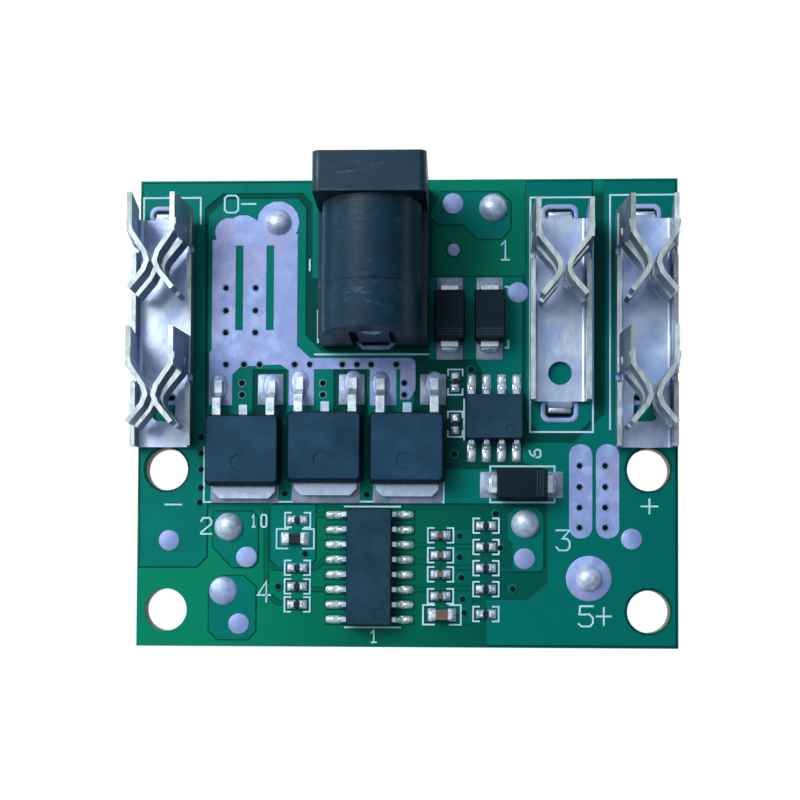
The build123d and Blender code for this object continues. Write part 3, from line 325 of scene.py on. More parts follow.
NODE_FINISHES = (
    ("circuit_board", "bare_mask", 0.03),
    ("copper_pours", "copper_mask", 0.025),
    ("tinned_pads", "tin", 0.02),
    ("jack_housing", "jack_plastic", 0.12),
    ("jack_rear_terminal", "shaded_tin", 0.03),
    ("controller_body", "ic_epoxy", 0.05),
    ("charge_switch_body", "ic_epoxy", 0.05),
    ("resistor_end_caps", "solder", 0.04),
    ("capacitor_end_caps", "solder", 0.05),
    ("leg_solder", "solder", 0.05),
    ("cell_tap_solder", "solder", 0.0),
)
# For the other nodes, by the start and the end of the name. The first row that fits counts
GROUP_FINISHES = (
    ("transistor_", "_body", "fet_epoxy", 0.08),
    ("transistor_", "_tab", "tab_tin", 0.04),
    ("transistor_", "_leads", "lead_tin", 0.06),
    ("", "_leads", "lead_tin", 0.03),
    ("", "_terminal", "terminal_tin", 0.09),
    ("jack_", "", "lead_tin", 0.03),
    ("diode_", "_body", "diode_epoxy", 0.05),
    ("diode_", "_terminals", "lead_tin", 0.05),
    ("resistor_", "", "chip_black", 0.03),
    ("capacitor_", "", "chip_tan", 0.04),
)


def round_edges(piece, width):
    """Merges the split corners of a carried-over mesh and rounds its sharp edges."""
    weld = piece.modifiers.new("weld", "WELD")
    weld.merge_threshold = 1e-6
    if width:
        bevel = piece.modifiers.new("rounding", "BEVEL")
        bevel.width = width * MM
        bevel.segments = 2
        bevel.limit_method = "ANGLE"
        bevel.angle_limit = math.radians(35)
        bevel.use_clamp_overlap = True


for name, piece in cad.items():
    choice = [row[1:] for row in NODE_FINISHES if row[0] == name]
    choice += [row[2:] for row in GROUP_FINISHES if name.startswith(row[0]) and name.endswith(row[1])]
    paint(piece, choice[0][0])
    round_edges(piece, choice[0][1])


# Mesh building

def finish_piece(name, mesh, finish, smooth=True, bevel=0.0):
    """Turns a bmesh in millimetres into a piece that rides on the object."""
    mesh.transform(Matrix.Scale(MM, 4))
    bmesh.ops.recalc_face_normals(mesh, faces=mesh.faces)
    data = bpy.data.meshes.new(name)
    mesh.to_mesh(data)
    mesh.free()
    for face in data.polygons:
        face.use_smooth = smooth
    piece = bpy.data.objects.new(name, data)
    bpy.context.scene.collection.objects.link(piece)
    paint(piece, finish)
    if bevel:
        round_edges(piece, bevel)
    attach(piece, "root")
    return piece


def ring_of(mesh, points):
    """New vertices at the points."""
    return [mesh.verts.new(p) for p in points]


def bridge(mesh, first, second):
    """A closed band of faces between two rings of equally many vertices."""
    count = len(first)
    for i in range(count):
        j = (i + 1) % count
        mesh.faces.new((first[i], first[j], second[j], second[i]))


def outline(x, y, half_x, half_y, radius, arc=6, side=8):
    """A rectangle with rounded corners, as points with some along its straight sides."""
    points = []
    signs = ((1, 1), (-1, 1), (-1, -1), (1, -1))
    for k, (sx, sy) in enumerate(signs):
        cx, cy = x + sx * (half_x - radius), y + sy * (half_y - radius)
        for i in range(arc + 1):
            a = math.pi / 2 * (k + i / arc)
            points.append((cx + radius * math.cos(a), cy + radius * math.sin(a)))
        nx, ny = signs[(k + 1) % 4]
        a = math.pi / 2 * (k + 1)
        after = (x + nx * (half_x - radius) + radius * math.cos(a),
                 y + ny * (half_y - radius) + radius * math.sin(a))
        last = points[-1]
        for i in range(1, side):
            t = i / side
            points.append((last[0] + (after[0] - last[0]) * t, last[1] + (after[1] - last[1]) * t))
    return points


def at_height(mesh, points, z):
    return ring_of(mesh, [(x, y, z) for x, y in points])


def stack(mesh, loops):
    """A closed solid through loops of equally many points, from the bottom one to the top one."""
    for low, high in zip(loops, loops[1:]):
        bridge(mesh, low, high)
    mesh.faces.new(list(reversed(loops[0])))
    mesh.faces.new(loops[-1])


def closed_ring(mesh, loops):
    """A closed ring through loops, of which the last leads back to the first."""
    for first, second in zip(loops, loops[1:] + loops[:1]):
        bridge(mesh, first, second)


def tablet(mesh, x, y, half_x, half_y, radius, low, high, ease=0.02):
    """A thin plate with rounded corners and an eased top edge."""
    loops = []
    for inset, z in ((0, low), (0, high - ease * 0.6), (ease, high)):
        corner = max(0.01, radius - inset)
        loops.append(at_height(mesh, outline(x, y, half_x - inset, half_y - inset, corner, 5, 2), z))
    stack(mesh, loops)


def lathe(mesh, x, y, profile, sides=40, wobble=0.0):
    """A closed turned form. The profile runs from the axis, out and up, back to the axis."""
    angles = [math.tau * i / sides for i in range(sides)]
    swing = [1 + wobble * (math.sin(2 * a + x) + 0.6 * math.sin(3 * a + y)) for a in angles]
    rings = []
    for r, z in profile[1:-1]:
        rings.append(ring_of(mesh, [
            (x + r * grow * math.cos(a), y + r * grow * math.sin(a), z) for a, grow in zip(angles, swing)]))
    for low, high in zip(rings, rings[1:]):
        bridge(mesh, low, high)
    for end, (_, z) in ((rings[0], profile[0]), (rings[-1], profile[-1])):
        tip = mesh.verts.new((x, y, z))
        for i in range(sides):
            mesh.faces.new((end[i], end[(i + 1) % sides], tip))


def blob(x, y, half_x, half_y, square, sides):
    """The rounded footprint of a solder puddle, as points."""
    points = []
    for i in range(sides):
        a = math.tau * i / sides
        c, s = math.cos(a), math.sin(a)
        reach = (abs(c) ** square + abs(s) ** square) ** (-1 / square)
        points.append((x + half_x * reach * c, y + half_y * reach * s))
    return points


def mound(mesh, centre, along, half_long, half_wide, height, base=TIN_TOP, square=2.6):
    """A closed puddle of solder with a rounded footprint and a soft crown."""
    sides, levels = 28, 6
    ax, ay = along
    rings = []
    for level in range(levels):
        swing = math.pi / 2 * level / levels
        scale, z = math.cos(swing) ** 0.8, base + height * math.sin(swing)
        rings.append(ring_of(mesh, [
            (centre[0] + u * ax - v * ay, centre[1] + u * ay + v * ax, z)
            for u, v in blob(0, 0, half_long * scale, half_wide * scale, square, sides)]))
    for low, high in zip(rings, rings[1:]):
        bridge(mesh, low, high)
    top = mesh.verts.new((centre[0], centre[1], base + height))
    for i in range(sides):
        mesh.faces.new((rings[-1][i], rings[-1][(i + 1) % sides], top))
    mesh.faces.new(list(reversed(rings[0])))


def islands(node):
    """The box of each separate solid in a node, in millimetres, as (lowest, highest)."""
    data = cad[node].data
    group, keys = {}, []
    parent = []

    def root(i):
        while parent[i] != i:
            parent[i] = parent[parent[i]]
            i = parent[i]
        return i

    for vertex in data.vertices:
        key = tuple(round(c * 1e6) for c in vertex.co)
        if key not in group:
            group[key] = len(parent)
            parent.append(len(parent))
        keys.append(group[key])
    for face in data.polygons:
        first = root(keys[face.vertices[0]])
        for v in face.vertices[1:]:
            parent[root(keys[v])] = first
    boxes = {}
    for vertex, key in zip(data.vertices, keys):
        p = vertex.co / MM
        low, high = boxes.setdefault(root(key), (p.copy(), p.copy()))
        for k in range(3):
            low[k] = min(low[k], p[k])
            high[k] = max(high[k], p[k])
    return sorted(boxes.values(), key=lambda b: (round(b[0].x, 2), round(b[0].y, 2)))


# Solder on the leads, chips and taps

# Half sizes by which the kinds of pads are told apart: of the long side, then of the short one
SLOT_PAD = ((1.35, 1.75), (0.6, 1.05))
CIRCUIT_PAD = ((0.8, 3.0), (0.34, 0.36))
CHIP_PAD = ((0.0, 0.6), (0.0, 0.4))
# How unequal the sides of a pad are before it counts as oblong
OBLONG = 0.05


def is_pad(kind, low, high):
    """Whether a pad's box has the sizes of a kind."""
    half = (high - low) / 2
    sizes = max(half.x, half.y), min(half.x, half.y)
    return all(least < size < most for size, (least, most) in zip(sizes, kind))


def lead_solder():
    """Solder at the leads of the circuits and the ends of the diodes."""
    mesh = bmesh.new()
    for node in ("controller_leads", "charge_switch_leads"):
        low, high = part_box(node)
        middle = (low + high) / 2 / MM
        sideways = node == "controller_leads"
        for number, (low, high) in enumerate(islands(node)):
            centre = (low + high) / 2
            vary = 1 + 0.12 * math.sin(number * 2.3)
            axis = 0 if sideways else 1
            way = 1 if centre[axis] > middle[axis] else -1
            toe = high[axis] if way > 0 else low[axis]
            along = (way, 0) if sideways else (0, way)
            # A flat spread, a fillet at the toe and one at the heel
            for reach, long, wide, tall, base, square in (
                    (-0.05, 0.8, 0.33 if sideways else 0.38, 0.1, TIN_TOP - 0.01, 3.0 if sideways else 4.5),
                    (0.2, 0.52 * vary, 0.3 if sideways else 0.35, 0.24, TIN_TOP, 2.1 if sideways else 3.2),
                    (-0.5, 0.32, 0.29, 0.34 * vary, TIN_TOP, 2.4)):
                spot = toe + way * reach
                place = (spot, centre.y) if sideways else (centre.x, spot)
                mound(mesh, place, along, long, wide, tall, base, square)
    for number in (1, 2, 3):
        sides = islands(f"diode_{number}_terminals")
        middle = sum(((low + high) / 2 for low, high in sides), Vector()) / len(sides)
        for low, high in sides:
            centre = (low + high) / 2
            away = centre - middle
            axis = 0 if abs(away.x) > abs(away.y) else 1
            way = math.copysign(1, away[axis])
            end = high[axis] if way > 0 else low[axis]
            wide = (high[1 - axis] - low[1 - axis]) / 2 + 0.1
            spot, along = ((centre.x, end), (0, way)) if axis else ((end, centre.y), (way, 0))
            mound(mesh, spot, along, 0.34, wide, 0.5)
    finish_piece("lead_solder", mesh, "solder")


def mask_rims():
    """Lacquer that closes over the corners of the narrow pads, so that each opening is rounded."""
    mesh = bmesh.new()
    sides = 32
    for low, high in islands("tinned_pads"):
        centre, half = (low + high) / 2, (high - low) / 2
        if not is_pad(CIRCUIT_PAD, low, high) or half.y > half.x:
            continue
        inner = blob(centre.x, centre.y, half.x - 0.01, half.y - 0.02, 2.6, sides)
        outer = [(centre.x + x * (half.x + 0.05), centre.y + y * (half.y + 0.05))
                 for x, y in blob(0, 0, 1, 1, 60, sides)]
        loops = [at_height(mesh, outer, BOARD_TOP - 0.01), at_height(mesh, outer, TIN_TOP + 0.004),
                 at_height(mesh, inner, TIN_TOP + 0.012), at_height(mesh, inner, BOARD_TOP - 0.01)]
        closed_ring(mesh, loops)
    finish_piece("pad_rims", mesh, "bare_mask", smooth=False)


def pad_solder():
    """The duller solder spread over the pads, low and rounded, and the puddles at the power leads."""
    mesh = bmesh.new()
    for low, high in islands("tinned_pads"):
        half = (high - low) / 2
        centre = (low + high) / 2
        long, short = max(half.x, half.y), min(half.x, half.y)
        special = is_pad(SLOT_PAD, low, high) or is_pad(CIRCUIT_PAD, low, high)
        if special or long > 3.2 or long - short < OBLONG:
            continue
        tablet(mesh, centre.x, centre.y, half.x + 0.02, half.y + 0.02, min(0.3, short * 0.6),
               BOARD_TOP + 0.03, TIN_TOP + 0.02)
    finish_piece("pad_solder", mesh, "grey_tin")
    mesh = bmesh.new()
    for number in (1, 2, 3):
        for low, high in islands(f"transistor_{number}_leads"):
            mound(mesh, ((low.x + high.x) / 2, high.y - 0.5), (0, 1), 1.12, 0.76, 0.13,
                  TIN_TOP - 0.01, square=2.3)
    finish_piece("lead_puddles", mesh, "puddle")


def round_lands():
    """Smooth round lands on the test points and taps, the rings of the leg slots, and a dark block in each
    slot that paints the shade inside it.
    """
    mesh, wells = bmesh.new(), bmesh.new()
    for low, high in islands("tinned_pads"):
        centre, half = (low + high) / 2, (high - low) / 2
        if abs(half.x - half.y) < OBLONG and half.x < 2.0:
            r = half.x + 0.01
            lathe(mesh, centre.x, centre.y, ((0, BOARD_TOP), (r, BOARD_TOP), (r, TIN_TOP),
                                             (r - 0.05, TIN_TOP + 0.02), (0, TIN_TOP + 0.022)), 48)
        # The jack hides its own slots
        if not is_pad(SLOT_PAD, low, high) or (high.y > 16 and abs(centre.x) < 5):
            continue
        # Painted shade: a dark block down in the slot stands in for the shade inside it
        tablet(wells, centre.x, centre.y, half.x - 0.34, half.y - 0.34, 0.38, 0.05, 1.3)
        loops = []
        for grow, radius, z in ((0.03, 0.7, BOARD_TOP), (0.03, 0.7, TIN_TOP), (-0.03, 0.66, TIN_TOP + 0.03),
                                (-0.3, 0.45, TIN_TOP + 0.03), (-0.36, 0.4, TIN_TOP), (-0.36, 0.4, BOARD_TOP)):
            corner = min(radius, (half.y + grow) * 0.98)
            shape = outline(centre.x, centre.y, half.x + grow, half.y + grow, corner, 6, 3)
            loops.append(at_height(mesh, shape, z))
        closed_ring(mesh, loops)
    finish_piece("slot_painted_shade", wells, "hole_dark")
    finish_piece("round_lands", mesh, "tin")


def chip_solder():
    """Bright solder over the whole of each chip's pads."""
    mesh = bmesh.new()
    pads = [((low + high) / 2, (high - low) / 2) for low, high in islands("tinned_pads")
            if is_pad(CHIP_PAD, low, high)]
    pads = [(centre, half) for centre, half in pads if abs(half.x - half.y) > 0.01]
    for number, (centre, half) in enumerate(pads):
        other = min((c - centre for c, _ in pads if (c - centre).length > 0.1), key=lambda v: v.length)
        along = (1, 0) if abs(other.x) > abs(other.y) else (0, 1)
        long, wide = (half.x, half.y) if along[0] else (half.y, half.x)
        away = -0.08 * math.copysign(1, other.x if along[0] else other.y)
        tall = 0.24 + 0.05 * math.sin(number * 1.9)
        spot = (centre.x + away * along[0], centre.y + away * along[1])
        mound(mesh, spot, along, long - 0.06, wide - 0.02, tall, TIN_TOP + 0.01, 3.4)
    finish_piece("chip_solder", mesh, "solder")


def tap_domes():
    """The solder on the taps: high rounded domes, and one low one in duller tin."""
    steps = 12
    high_ones, low_ones = bmesh.new(), bmesh.new()
    for low, high in islands("cell_tap_solder"):
        centre = (low + high) / 2
        radius = (high.x - low.x) / 2
        crown = high.z - low.z
        profile = [(0, low.z), (radius, low.z)]
        for i in range(1, steps):
            a = math.pi / 2 * i / steps
            profile.append((radius * math.cos(a) ** 0.9, low.z + crown * math.sin(a) ** 1.5))
        profile.append((0, high.z))
        lathe(high_ones if crown > 0.4 else low_ones, centre.x, centre.y, profile, 48, 0.008)
    piece = finish_piece("tap_domes", high_ones, "dome")
    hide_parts("cell_tap_solder")
    finish_piece("low_tap_dome", low_ones, "puddle")


# Moulded bodies, with rounded corners, a soft rim and a round dimple

# Half the height of the plain strip along the parting line
PARTING = 0.03


def moulded_body(mesh, box, split, draft, corner, rim, dimple=None):
    """The body in a box, tapering up and down from its parting line."""
    low, high = box
    centre, half = (low + high) / 2, (high - low) / 2
    slope = math.tan(math.radians(draft))
    levels = [(low.z, (split - low.z) * slope), (split - PARTING, 0.0), (split + PARTING, 0.0)]
    foot = (high.z - rim - split) * slope
    levels.append((high.z - rim, foot))
    for i in range(1, 4):
        a = math.pi / 6 * i
        levels.append((high.z - rim + rim * math.sin(a), foot + rim * (1 - math.cos(a))))
    loops = []
    for z, inset in levels:
        radius = max(0.04, corner - inset / 2)
        loops.append(at_height(mesh, outline(centre.x, centre.y, half.x - inset, half.y - inset, radius), z))
    if dimple:
        x, y, r = dimple
        angles = [math.atan2(v.co.y - y, v.co.x - x) for v in loops[-1]]
        for radius, drop in ((r, 0.0), (r - 0.015, 0.03), (r - 0.03, 0.07)):
            loops.append(ring_of(mesh, [(x + radius * math.cos(a), y + radius * math.sin(a), high.z - drop)
                                        for a in angles]))
    stack(mesh, loops)


def moulded_piece(name, node, finish, split, draft, corner, rim, dimple=None):
    """A softer moulded body in place of a node's own, with its parting line at split."""
    low, high = (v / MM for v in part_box(node))
    mesh = bmesh.new()
    if dimple:
        dimple = ((low.x + high.x) / 2 + dimple[0], (low.y + high.y) / 2 + dimple[1], dimple[2])
    moulded_body(mesh, (low, high), low.z + split, draft, corner, rim, dimple)
    piece = finish_piece(name, mesh, finish)
    for face in piece.data.polygons:
        face.use_smooth = abs(face.normal.z) < 0.995
    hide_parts(node)


def moulded_bodies():
    """The cases of the transistors, diodes and circuits."""
    for number in (1, 2, 3):
        moulded_piece(f"transistor_{number}_case", f"transistor_{number}_body", "fet_epoxy",
                      1.13, 12, 0.5, 0.14, (-0.2, -1.15, 0.7))
        moulded_piece(f"diode_{number}_case", f"diode_{number}_body", "diode_epoxy", 0.8, 5, 0.12, 0.07)
    moulded_piece("controller_case", "controller_body", "ic_epoxy", 0.7, 7, 0.12, 0.07, (0.95, -3.95, 0.5))
    moulded_piece("charge_switch_case", "charge_switch_body", "ic_epoxy", 0.7, 7, 0.12, 0.07,
                  (1.35, -1.1, 0.4))


def diode_bands():
    """The cathode marks, three fine lines across one end of each diode."""
    mesh = bmesh.new()
    for number in (1, 2, 3):
        low, high = (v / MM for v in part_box(f"diode_{number}_body"))
        upright = high.y - low.y > high.x - low.x
        for i in range(3):
            away = 0.45 + 0.24 * i
            if upright:
                line = ((low.x + 0.25, low.y + away), (high.x - 0.25, low.y + away))
            else:
                line = ((high.x - away, low.y + 0.25), (high.x - away, high.y - 0.25))
            ribbon(mesh, line, 0.1, high.z + 0.006, high.z - 0.02)
    finish_piece("diode_bands", mesh, "band", smooth=False)


# Vias, leg shoulders and the copper under the mask

# Centres of the vias with bare mouths, and of those under the mask
OPEN_VIAS = (
    (-15.54, 21.58), (-15.54, 19.63), (-15.54, 17.73), (-12.99, 21.58), (-12.99, 19.63), (-12.99, 17.73),
    (-15.49, 14.98), (-13.94, 14.98), (-12.59, 14.98), (-9.59, 14.98), (-8.29, 14.98), (-5.49, 14.98),
    (-4.24, 14.98), (-3.04, 14.98), (-0.89, 14.98), (-14.09, 13.38), (-14.09, 12.38), (-7.14, 13.38),
    (-7.14, 12.38), (-0.19, 13.38), (-0.19, 12.38), (14.69, 6.33), (14.69, 4.53), (14.69, 2.78),
    (14.69, 1.08), (16.85, 6.33), (16.85, 4.53), (16.85, 2.78), (16.85, 1.08),
)
MASKED_VIAS = (
    (-17.56, 8.74), (-17.56, 7.34), (-17.55, 5.98), (-17.54, 4.40), (-17.63, 3.14), (-10.36, 3.91),
    (-3.35, 3.83), (5.48, 14.53), (4.08, 7.32), (-8.59, -1.21), (-10.87, -3.99), (4.57, 0.35),
    (4.57, -1.46), (4.71, -3.19), (4.84, -5.01), (4.96, -6.16), (7.62, 2.25), (9.05, -4.11), (8.01, -0.67),
)


def circle(x, y, r, z, sides):
    """The points of a level circle."""
    return [(x + r * math.cos(math.tau * i / sides), y + r * math.sin(math.tau * i / sides), z)
            for i in range(sides)]


VIA_R = 0.27
COLLAR_R = 0.34
VIA_SIDES = 24


def open_vias():
    """Dark fill down in the open vias, with a fine collar of tin round each mouth."""
    fill, collars = bmesh.new(), bmesh.new()
    for x, y in OPEN_VIAS:
        lathe(fill, x, y, ((0, 0.2), (0.3, 0.2), (0.3, 1.62), (0.2, 1.64), (0, 1.645)), VIA_SIDES)
        loops = []
        for r, z in ((VIA_R, BOARD_TOP), (COLLAR_R, BOARD_TOP), (COLLAR_R, TIN_TOP + 0.008),
                     (VIA_R + 0.01, TIN_TOP + 0.008), (VIA_R, TIN_TOP - 0.01)):
            loops.append(ring_of(collars, circle(x, y, r, z, VIA_SIDES)))
        closed_ring(collars, loops)
    finish_piece("via_fill", fill, "hole_dark")
    finish_piece("via_collars", collars, "collar_tin")


# Centre, half sizes and top of each shoulder
LEG_SHOULDERS = (
    (-20.75, 27.68, 0.84, 0.3, 1.98), (13.0, 27.68, 1.0, 0.3, 1.98),
    (20.2, 27.68, 0.84, 0.3, 1.98), (13.0, 11.22, 1.0, 0.42, 1.72),
)


def leg_tongues():
    """The rounded shoulder of each terminal's leg where it turns down into its slot."""
    mesh = bmesh.new()
    for x, y, half_x, half_y, top in LEG_SHOULDERS:
        tablet(mesh, x, y, half_x, half_y, 0.1, 0.9, top, 0.16)
    finish_piece("leg_tongues", mesh, "lead_tin")


def copper_edges():
    """The lacquer's sloping shoulder along every edge of the copper, in a darker tone that is painted shade.
    """
    mesh = bmesh.new()
    data = cad["copper_pours"].data
    reach, top = 0.13, MASK_TOP - 0.004
    walls, ways = [], {}
    for face in data.polygons:
        if abs(face.normal.z) > 0.1:
            continue
        corners = [data.vertices[v].co / MM for v in face.vertices]
        feet = [p for p in corners if p.z < BOARD_TOP + 0.02]
        if len(feet) != 2 or (feet[0] - feet[1]).length < 0.01:
            continue
        way = Vector((face.normal.x, face.normal.y)).normalized()
        walls.append((feet[0], feet[1]))
        for p in feet:
            ways.setdefault((round(p.x, 3), round(p.y, 3)), []).append(way)
    for p, q in walls:
        rows = []
        for point in (p, q):
            near = ways[(round(point.x, 3), round(point.y, 3))]
            way = sum(near, Vector((0, 0)))
            way = way.normalized() if way.length > 0.3 else near[0]
            way *= reach / max(0.5, way.dot(near[0]))
            rows.append([mesh.verts.new(c) for c in (
                (point.x, point.y, BOARD_TOP - 0.01), (point.x + way.x, point.y + way.y, BOARD_TOP - 0.01),
                (point.x + way.x, point.y + way.y, BOARD_TOP + 0.003), (point.x, point.y, top))])
        first, second = rows
        bridge(mesh, first, second)
        mesh.faces.new(list(reversed(first)))
        mesh.faces.new(second)
    finish_piece("copper_edges", mesh, "mask_edge_shade", smooth=False)


# Runs of the narrow copper
TRACES = (
    ((-11.5, 2.95), (-11.93, 2.52), (-11.88, -3.54)), ((-11.6, -2.05), (-11.25, -2.4), (-10.2, -2.42)),
    ((-8.2, 2.1), (-6.9, 2.12)), ((-8.1, -2.42), (-7.64, -2.38), (-6.9, -1.68)),
    ((-8.2, -4.24), (-6.9, -4.24)),
    ((3.15, -0.55), (5.8, -0.55)), ((3.15, -2.36), (5.8, -2.36)), ((3.15, -4.1), (5.8, -4.1)),
    ((7.9, -2.52), (9.2, -2.52)), ((0.4, -0.42), (2.0, -0.46)), ((0.4, -4.24), (2.2, -4.24)),
    ((-11.4, -4.9), (-10.95, -5.35), (-10.2, -5.4)), ((0.3, -1.7), (2.0, -1.95)),
)
# Lowest and highest x, lowest and highest y
SMALL_AREAS = (
    (4.08, 5.62, -0.3, 0.9), (4.08, 5.62, -2.1, -0.8), (4.08, 5.62, -3.86, -2.62), (4.08, 5.62, -7.1, -4.36),
)


def masked_traces():
    """Narrow copper runs and small areas under the mask, each with a sloping shoulder round it in a darker
    tone that is painted shade.
    """
    mesh, edges = bmesh.new(), bmesh.new()
    for number, line in enumerate(TRACES):
        lift = 0.0003 * (number % 4)
        ribbon(mesh, line, 0.26, MASK_TOP - 0.02 + lift)
        ribbon(edges, line, 0.5, BOARD_TOP + 0.006 + lift)
    for x0, x1, y0, y1 in SMALL_AREAS:
        x, y, half_x, half_y = (x0 + x1) / 2, (y0 + y1) / 2, (x1 - x0) / 2, (y1 - y0) / 2
        tablet(mesh, x, y, half_x, half_y, 0.12, BOARD_TOP - 0.01, MASK_TOP - 0.015)
        tablet(edges, x, y, half_x + 0.13, half_y + 0.13, 0.2, BOARD_TOP - 0.01, BOARD_TOP + 0.008, 0.004)
    finish_piece("masked_traces", mesh, "trace_mask", smooth=False)
    finish_piece("trace_shoulders", edges, "trace_edge_shade", smooth=False)


def masked_vias():
    """The rings of the vias that the mask covers, with their dark mouths."""
    rings, wells = bmesh.new(), bmesh.new()
    for x, y in MASKED_VIAS:
        lathe(rings, x, y, ((0, BOARD_TOP - 0.02), (0.42, BOARD_TOP - 0.02), (0.42, MASK_TOP - 0.01),
                            (0.36, MASK_TOP + 0.02), (0.28, MASK_TOP + 0.02), (0, MASK_TOP + 0.015)), 28)
        lathe(wells, x, y, ((0, MASK_TOP), (0.25, MASK_TOP), (0.25, MASK_TOP + 0.025), (0.2, MASK_TOP + 0.03),
                            (0, MASK_TOP + 0.026)), 24)
    finish_piece("masked_via_rings", rings, "copper_mask")
    finish_piece("masked_via_wells", wells, "hole_dark")


# Legend: plain figures, signs and outlines printed on the mask

STROKE = 0.15
LETTER_GAP = 0.32
# Overlapping strokes differ in height, so that no two faces share a plane
INK_STEP = 0.0002
# Strokes of each figure in a square of side 1
FIGURES = {
    "0": (((0.2, 0), (0.8, 0), (1, 0.15), (1, 0.85), (0.8, 1), (0.2, 1), (0, 0.85), (0, 0.15), (0.2, 0)),),
    "1": (((0.15, 0.8), (0.5, 1), (0.5, 0)), ((0.15, 0), (0.85, 0))),
    "2": (((0, 0.8), (0.2, 1), (0.8, 1), (1, 0.82), (1, 0.62), (0, 0.1), (0, 0), (1, 0)),),
    "3": (((0, 1), (1, 1), (0.45, 0.58), (0.8, 0.58), (1, 0.42), (1, 0.15), (0.8, 0), (0.2, 0), (0, 0.15)),),
    "4": (((0.7, 0), (0.7, 1), (0, 0.32), (1, 0.32)),),
    "5": (((1, 1), (0.1, 1), (0.05, 0.58), (0.75, 0.6), (1, 0.42), (1, 0.16), (0.8, 0), (0.2, 0),
           (0, 0.12)),),
    "6": (((0.85, 1), (0.4, 0.9), (0, 0.5), (0, 0.15), (0.2, 0), (0.8, 0), (1, 0.15), (1, 0.4), (0.8, 0.55),
           (0.05, 0.5)),),
    "-": (((0, 0.5), (1, 0.5)),),
    "+": (((0, 0.5), (1, 0.5)), ((0.5, 0.08), (0.5, 0.92))),
}
# Text, low-left corner, top-right corner, turned by a quarter
MARKS = (
    ("0-", (-15.72, 28.12), (-13.07, 29.59), False), ("1", (7.95, 23.94), (8.81, 25.58), False),
    ("2", (-17.5, 0.46), (-16.62, 1.83), False), ("3", (12.75, -0.84), (13.86, 0.86), False),
    ("4", (-12.6, -5.29), (-11.55, -3.58), False), ("5+", (14.62, -7.25), (17.33, -5.55), False),
    ("-", (-20.6, 2.35), (-19.21, 3.58), False), ("+", (19.9, 2.2), (21.24, 3.6), False),
    ("-", (-8.81, 23.1), (-7.88, 24.0), True), ("1", (-2.95, -8.7), (-2.42, -7.68), False),
    ("6", (10.46, 7.04), (11.39, 7.7), True), ("10", (-13.12, 1.08), (-11.9, 2.11), False),
)
LINES = (
    ((10.5, 9.2), (15.82, 9.2), (15.82, 29.28), (10.5, 29.28), (10.5, 9.2)),
    ((-22.71, 27.4), (-22.71, 29.41), (-17.8, 29.41), (-17.78, 27.17)),
    ((17.26, 9.45), (17.27, 29.46), (22.8, 29.47)),
    ((-17.3, 7.88), (-17.3, 3.19), (-16.9, 3.19)),
    ((3.19, 5.15), (3.19, 3.19)),
    ((-17.32, 3.19), (3.15, 3.28)),
    ((-5.2, 2.83), (-0.51, 2.83)),
    ((-5.14, -7.43), (-0.47, -7.43)),
    ((7.14, 5.6), (7.14, 6.28), (12.58, 6.28), (12.58, 5.6)),
    ((7.14, 3.9), (7.14, 3.22), (12.58, 3.22), (12.58, 3.9)),
    ((4.91, 8.55), (4.91, 11.96)),
    ((-7.85, 15.85), (1.85, 15.85)),
    ((-7.62, 19.6), (-7.6, 16.9)),
    ((2.67, 21.0), (2.67, 21.62), (2.95, 21.62)), ((8.4, 21.62), (8.65, 21.62), (8.65, 21.0)),
    ((2.67, 17.0), (2.67, 16.4), (2.95, 16.4)), ((8.4, 16.4), (8.65, 16.4), (8.65, 17.0)),
)


def ribbon(mesh, points, width, top, base=BOARD_TOP - 0.01):
    """A closed flat strip along a line, mitred at its corners."""
    points = [Vector(p) for p in points]
    closed = (points[0] - points[-1]).length < 1e-6
    if closed:
        points = points[:-1]
    count = len(points)
    lefts, rights = [], []
    for i, p in enumerate(points):
        before = points[i - 1] if closed or i else None
        after = points[(i + 1) % count] if closed or i < count - 1 else None
        ways = [w.normalized() for w in ((p - before) if before is not None else None,
                                         (after - p) if after is not None else None) if w is not None]
        sides = [Vector((-w.y, w.x)) for w in ways]
        if len(sides) == 2:
            side = sides[0] + sides[1]
            side = side.normalized() if side.length > 1e-6 else sides[0]
            side *= min(2.0, 1 / max(0.2, side.dot(sides[0])))
            end = Vector((0, 0))
        else:
            side = sides[0]
            end = ways[0] * (width / 2) * (1 if before is not None else -1)
        lefts.append(p + side * width / 2 + end)
        rights.append(p - side * width / 2 + end)
    rows = [[mesh.verts.new((q.x, q.y, z)) for q in row]
            for z in (base, top) for row in (lefts, rights)]
    low_l, low_r, high_l, high_r = rows
    spans = range(count if closed else count - 1)
    for i in spans:
        j = (i + 1) % count
        mesh.faces.new((high_l[i], high_r[i], high_r[j], high_l[j]))
        mesh.faces.new((low_l[i], low_l[j], low_r[j], low_r[i]))
        mesh.faces.new((low_l[i], high_l[i], high_l[j], low_l[j]))
        mesh.faces.new((low_r[i], low_r[j], high_r[j], high_r[i]))
    if not closed:
        mesh.faces.new((low_l[0], low_r[0], high_r[0], high_l[0]))
        mesh.faces.new((low_l[-1], high_l[-1], high_r[-1], low_r[-1]))


def figure_paths():
    """The strokes of the figures and signs, each in its place on the board."""
    for text, low, high, turned in MARKS:
        low, high = Vector(low), Vector(high)
        size = high - low
        run, rise = (size.y, size.x) if turned else (size.x, size.y)
        each = (run - LETTER_GAP * (len(text) - 1)) / len(text)
        for place, letter in enumerate(text):
            wide = each * (0.55 if letter == "1" and len(text) > 1 else 1)
            for line in FIGURES[letter]:
                path = []
                for u, v in line:
                    a = place * (each + LETTER_GAP) + u * wide
                    b = v * rise
                    path.append((high.x - b, low.y + a) if turned else (low.x + a, low.y + b))
                yield path


